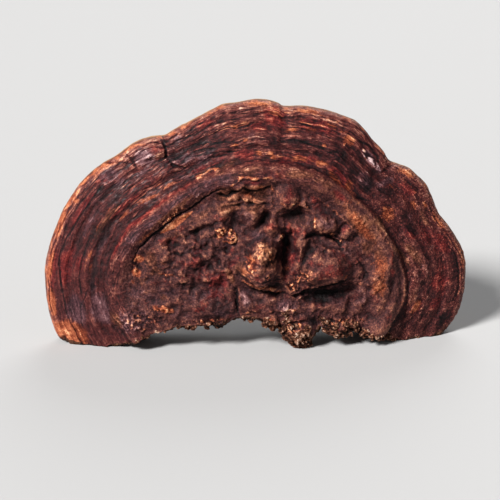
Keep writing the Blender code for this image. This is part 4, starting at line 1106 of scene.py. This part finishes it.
spread = spread + speckled * (grain * 0.14 + pepper * 0.30)
spread = spread + (lit_edges * 0.16 - dark_edges * 0.28) * (ringed - calm * 0.6)
chipped = (nodes.mask("tan") + grain * 0.8 + hue * 0.7 - 0.15).eased(0.25, 0.9)
tone = nodes.mask("tone") + spread + chipped * 0.24
colour = nodes.mixed(tone.ramp(BROWN), tone.ramp(MAHOGANY), ringed)
reddened = nodes.mask("red") + hue * 0.6 + spread * 0.6 + (bands * 0.8 + 0.1) * lively
reddened = reddened + wide_hue * plain * 1.2
colour = nodes.mixed(colour, tone.ramp(RED), reddened.eased(0.15, 0.95) * 0.9)
ochred = nodes.mask("ochre") + hue * 0.5 - spread * 0.5 - wide_hue * 0.4
colour = nodes.mixed(colour, tone.ramp(OCHRE), ochred.eased(0.15, 0.9) * 0.85)
# Where the grey of dust and painted sheen goes over the colour.
bloom_and_sheen = nodes.mask("grey") - hue * 0.6 + spread * 0.5 - bands * lively * 0.8
bloom_and_sheen = bloom_and_sheen - wide_hue * plain * 0.9 - nodes.mask("ochre") * 0.5
colour = nodes.mixed(colour, tone.ramp(BLOOM_AND_SHEEN), bloom_and_sheen.eased(0.15, 0.95) * (ringed * 0.15 + 0.70))
worn = nodes.mask("orange") + chipped * 0.6 + hue * 0.5 + spread * 0.9
colour = nodes.mixed(colour, tone.ramp(ORANGE), worn.eased(0.2, 0.9) * 0.9)
# Pale streaks of dust and painted sheen in the grey places.
dust_and_sheen = nodes.mask("grey") * (hair_lines + hue * 0.25 + grain * 0.15).eased(0.56, 0.76)
colour = nodes.mixed(colour, DUST_AND_SHEEN, dust_and_sheen * 0.2)
cork = nodes.mixed(CORK, SOOT, (mottling + grain * 0.3).eased(0.75, 0.35))
colour = nodes.mixed(colour, cork, nodes.mask("torn"))
ring_only = nodes.node("ShaderNodeCombineXYZ", {}, {"Y": nodes.mask("ring_place")})
aged = nodes.noise(at, AGE_SCALE, 5.0) * 0.7 + nodes.noise(ring_only, ZONE_SCALE, 3.0) * 0.5
aged = aged + patchy * 0.10 + hue * 0.06
pore_face = nodes.mixed(PORES, BRUISED, (aged + grain * 0.10).eased(0.48, 0.80) * 0.8)
pale_margin = nodes.mask("margin") * (streaks + hue * 0.2).eased(0.25, 0.6) * 0.8
pore_face = nodes.mixed(pore_face, MARGIN, pale_margin)
pores = nodes.node("ShaderNodeTexVoronoi", {}, {"Vector": at, "Scale": PORE_SCALE}, "Distance")
pore_face = nodes.mixed(pore_face, SOOT, pores.eased(0.42, 0.10) * 0.30)
colour = nodes.mixed(colour, pore_face, nodes.mask("pore"))
tree = lacquer.node_tree
tree.links.new(colour.output, shader.inputs["Base Color"])
dull = nodes.mask("tan") + nodes.mask("ochre") + nodes.mask("torn") + nodes.mask("pore")
roughness = 0.50 + dull.eased(0.0, 1.2) * 0.3 + grain * 0.14
tree.links.new(roughness.output, shader.inputs["Roughness"])
coat = nodes.mask("gloss") * (hair_lines + grain * 0.5).eased(0.3, 0.7) * 0.12
tree.links.new(coat.output, shader.inputs["Coat Weight"])
height = fine_grain * 0.8 + hair_lines * ringed * 0.4 + mottling * 0.5
bump = nodes.node("ShaderNodeBump", {}, {"Height": height, "Strength": 1.0, "Distance": BUMP_DEPTH})
tree.links.new(bump.output, shader.inputs["Normal"])
skin_data.materials.append(lacquer)
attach(cap_skin_piece, "root")
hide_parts("cap")


# ---------------------------------------------------------------------------------------------
# The crumbs of torn tissue, grown fast along the cut edge: a cluster of rough porous lumps that
# hangs under the middle and thinner strips of them along the rest. Lumps are set along the edge
# at random, melted into one closed body and pitted.

CRUMB_VOXEL = 0.55
CRUMB_SEED = 11
CRUMB_GRAIN_SCALE = 1100.0      # cells of noise per metre, like the two below it
CRUMB_SHADE_SCALE = 180.0
CRUMB_RUST_SCALE = 230.0
CRUMB_BUMP_DEPTH = 0.0008       # metres
PALE_TIP = (27, 10, 5, 5, 0)    # the clump's paler lower end: X, Z, half-width, half-height, turn
# Strips of crumbs: X from, X to, height above the edge, how many, least and greatest radius.
CRUMB_STRIPS = (
    (15, 35, 17, 76, 2.0, 3.9), (2, 11, 6, 9, 1.8, 3.2), (43, 62, 8, 34, 1.7, 3.2), (62, 98, 5, 46, 1.5, 2.9),
    (-14, 2, 3, 22, 0.7, 1.6), (-60, -47, 3, 30, 0.8, 1.8), (-39, -21, 4, 34, 0.8, 2.0),
    (-98, -62, 3, 44, 0.6, 1.3), (98, 126, 2, 14, 0.5, 1.0),
)

dice = random.Random(CRUMB_SEED)
edge_x, edge_z = np.array(sorted((row[0], row[1]) for row in TORN_EDGE), float).T
crumbs = bmesh.new()
for start, end, rise, count, least, greatest in CRUMB_STRIPS:
    for _ in range(count):
        crumb_x = dice.uniform(start, end)
        crumb_z = float(np.interp(crumb_x, edge_x, edge_z)) + rise * dice.random() ** 1.6
        radius = least + (greatest - least) * dice.random() ** 1.5
        surface = front_y(np.array([crumb_x]), np.array([crumb_z]))[0]
        crumb_y = surface + radius * dice.uniform(-0.2, 0.7) + 1.5 * dice.random()
        crumb_z = max(crumb_z, radius * 0.8)
        shape = Matrix.Diagonal((dice.uniform(0.7, 1.3), dice.uniform(0.7, 1.2), dice.uniform(0.7, 1.3), 1))
        turned = Euler((dice.uniform(0, 3), dice.uniform(0, 3), 0)).to_matrix().to_4x4()
        place = Matrix.Translation((crumb_x, crumb_y, crumb_z)) @ turned @ shape
        bmesh.ops.create_icosphere(crumbs, subdivisions=2, radius=radius, matrix=place)
crumb_data = bpy.data.meshes.new("torn_crumbs")
crumbs.to_mesh(crumb_data)
crumbs.free()
torn_crumbs = bpy.data.objects.new("torn_crumbs", crumb_data)
bpy.context.scene.collection.objects.link(torn_crumbs)
bpy.ops.object.select_all(action="DESELECT")
torn_crumbs.select_set(True)
bpy.context.view_layer.objects.active = torn_crumbs
melt = torn_crumbs.modifiers.new("melt", "REMESH")
melt.mode = "VOXEL"
melt.voxel_size = CRUMB_VOXEL
bpy.ops.object.modifier_apply(modifier=melt.name)
split = torn_crumbs.modifiers.new("split", "TRIANGULATE")
bpy.ops.object.modifier_apply(modifier=split.name)

crumb_count = len(crumb_data.vertices)
crumb_points = np.empty(crumb_count * 3)
crumb_data.vertices.foreach_get("co", crumb_points)
crumb_points = crumb_points.reshape(-1, 3)
crumb_faces = np.empty(len(crumb_data.polygons) * 3, int)
crumb_data.polygons.foreach_get("vertices", crumb_faces)
crumb_faces = crumb_faces.reshape(-1, 3)
crumb_out = outward(crumb_points, crumb_faces)
crumb_relief = 1.4 * rough(*crumb_points.T, 4.0, 3) + 0.9 * (billows(*crumb_points.T, 2.4) - 0.7)
crumb_points = crumb_points + crumb_out * crumb_relief[:, None]
crumb_points[:, 2] = np.maximum(crumb_points[:, 2], 0.1)
crumb_crest = proud_of_neighbours(crumb_points, crumb_faces, outward(crumb_points, crumb_faces), 10)
crumb_data.vertices.foreach_set("co", (crumb_points * MM).ravel())
crumb_data.shade_smooth()
# Painted shade and highlight on the crumbs: paler on their crests, darker in their pits, and painted shade on
# those left of the middle; the clump's lower end is paler.
shaded = 0.22 * smooth((2 - crumb_points[:, 0]) / 6)
crest_attribute = crumb_data.attributes.new("crest", "FLOAT", "POINT")
pale_tip = 0.5 * smooth(1.5 - oval(crumb_points[:, 0], crumb_points[:, 2], PALE_TIP))
lightness = np.clip(0.30 + 0.8 * crumb_crest + pale_tip - shaded, 0, 1)
crest_attribute.data.foreach_set("value", lightness.astype(np.float32))
print("crumbs", len(crumb_points), "points", len(crumb_faces), "triangles")

TISSUE = shades((10, 6, 5), (30, 16, 12), (56, 31, 22), (80, 47, 33), (104, 68, 52), (130, 93, 73),
                (192, 163, 145))
tissue = bpy.data.materials.new("torn_tissue")
tissue.use_nodes = True
tissue_shader = tissue.node_tree.nodes["Principled BSDF"]
tissue_shader.inputs["Specular IOR Level"].default_value = 0.08
tissue_shader.inputs["Roughness"].default_value = 0.85
nodes = Socket(tissue.node_tree)
at = nodes.node("ShaderNodeTexCoord", output="Object")
fine_grain = nodes.noise(at, CRUMB_GRAIN_SCALE, 3.0, 0.65)
shade = nodes.mask("crest") * 0.86 + (fine_grain - 0.5) * 1.5
shade = shade + (nodes.noise(at, CRUMB_SHADE_SCALE, 3.0) - 0.5) * 0.7
rusty = nodes.noise(at, CRUMB_RUST_SCALE, 2.0).eased(0.52, 0.72) * 0.22
colour = nodes.mixed(shade.ramp(TISSUE), shade.ramp(ORANGE), rusty)
tissue.node_tree.links.new(colour.output, tissue_shader.inputs["Base Color"])
bump = nodes.node("ShaderNodeBump", {}, {"Height": fine_grain, "Strength": 0.8, "Distance": CRUMB_BUMP_DEPTH})
tissue.node_tree.links.new(bump.output, tissue_shader.inputs["Normal"])
crumb_data.materials.append(tissue)
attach(torn_crumbs, "root")
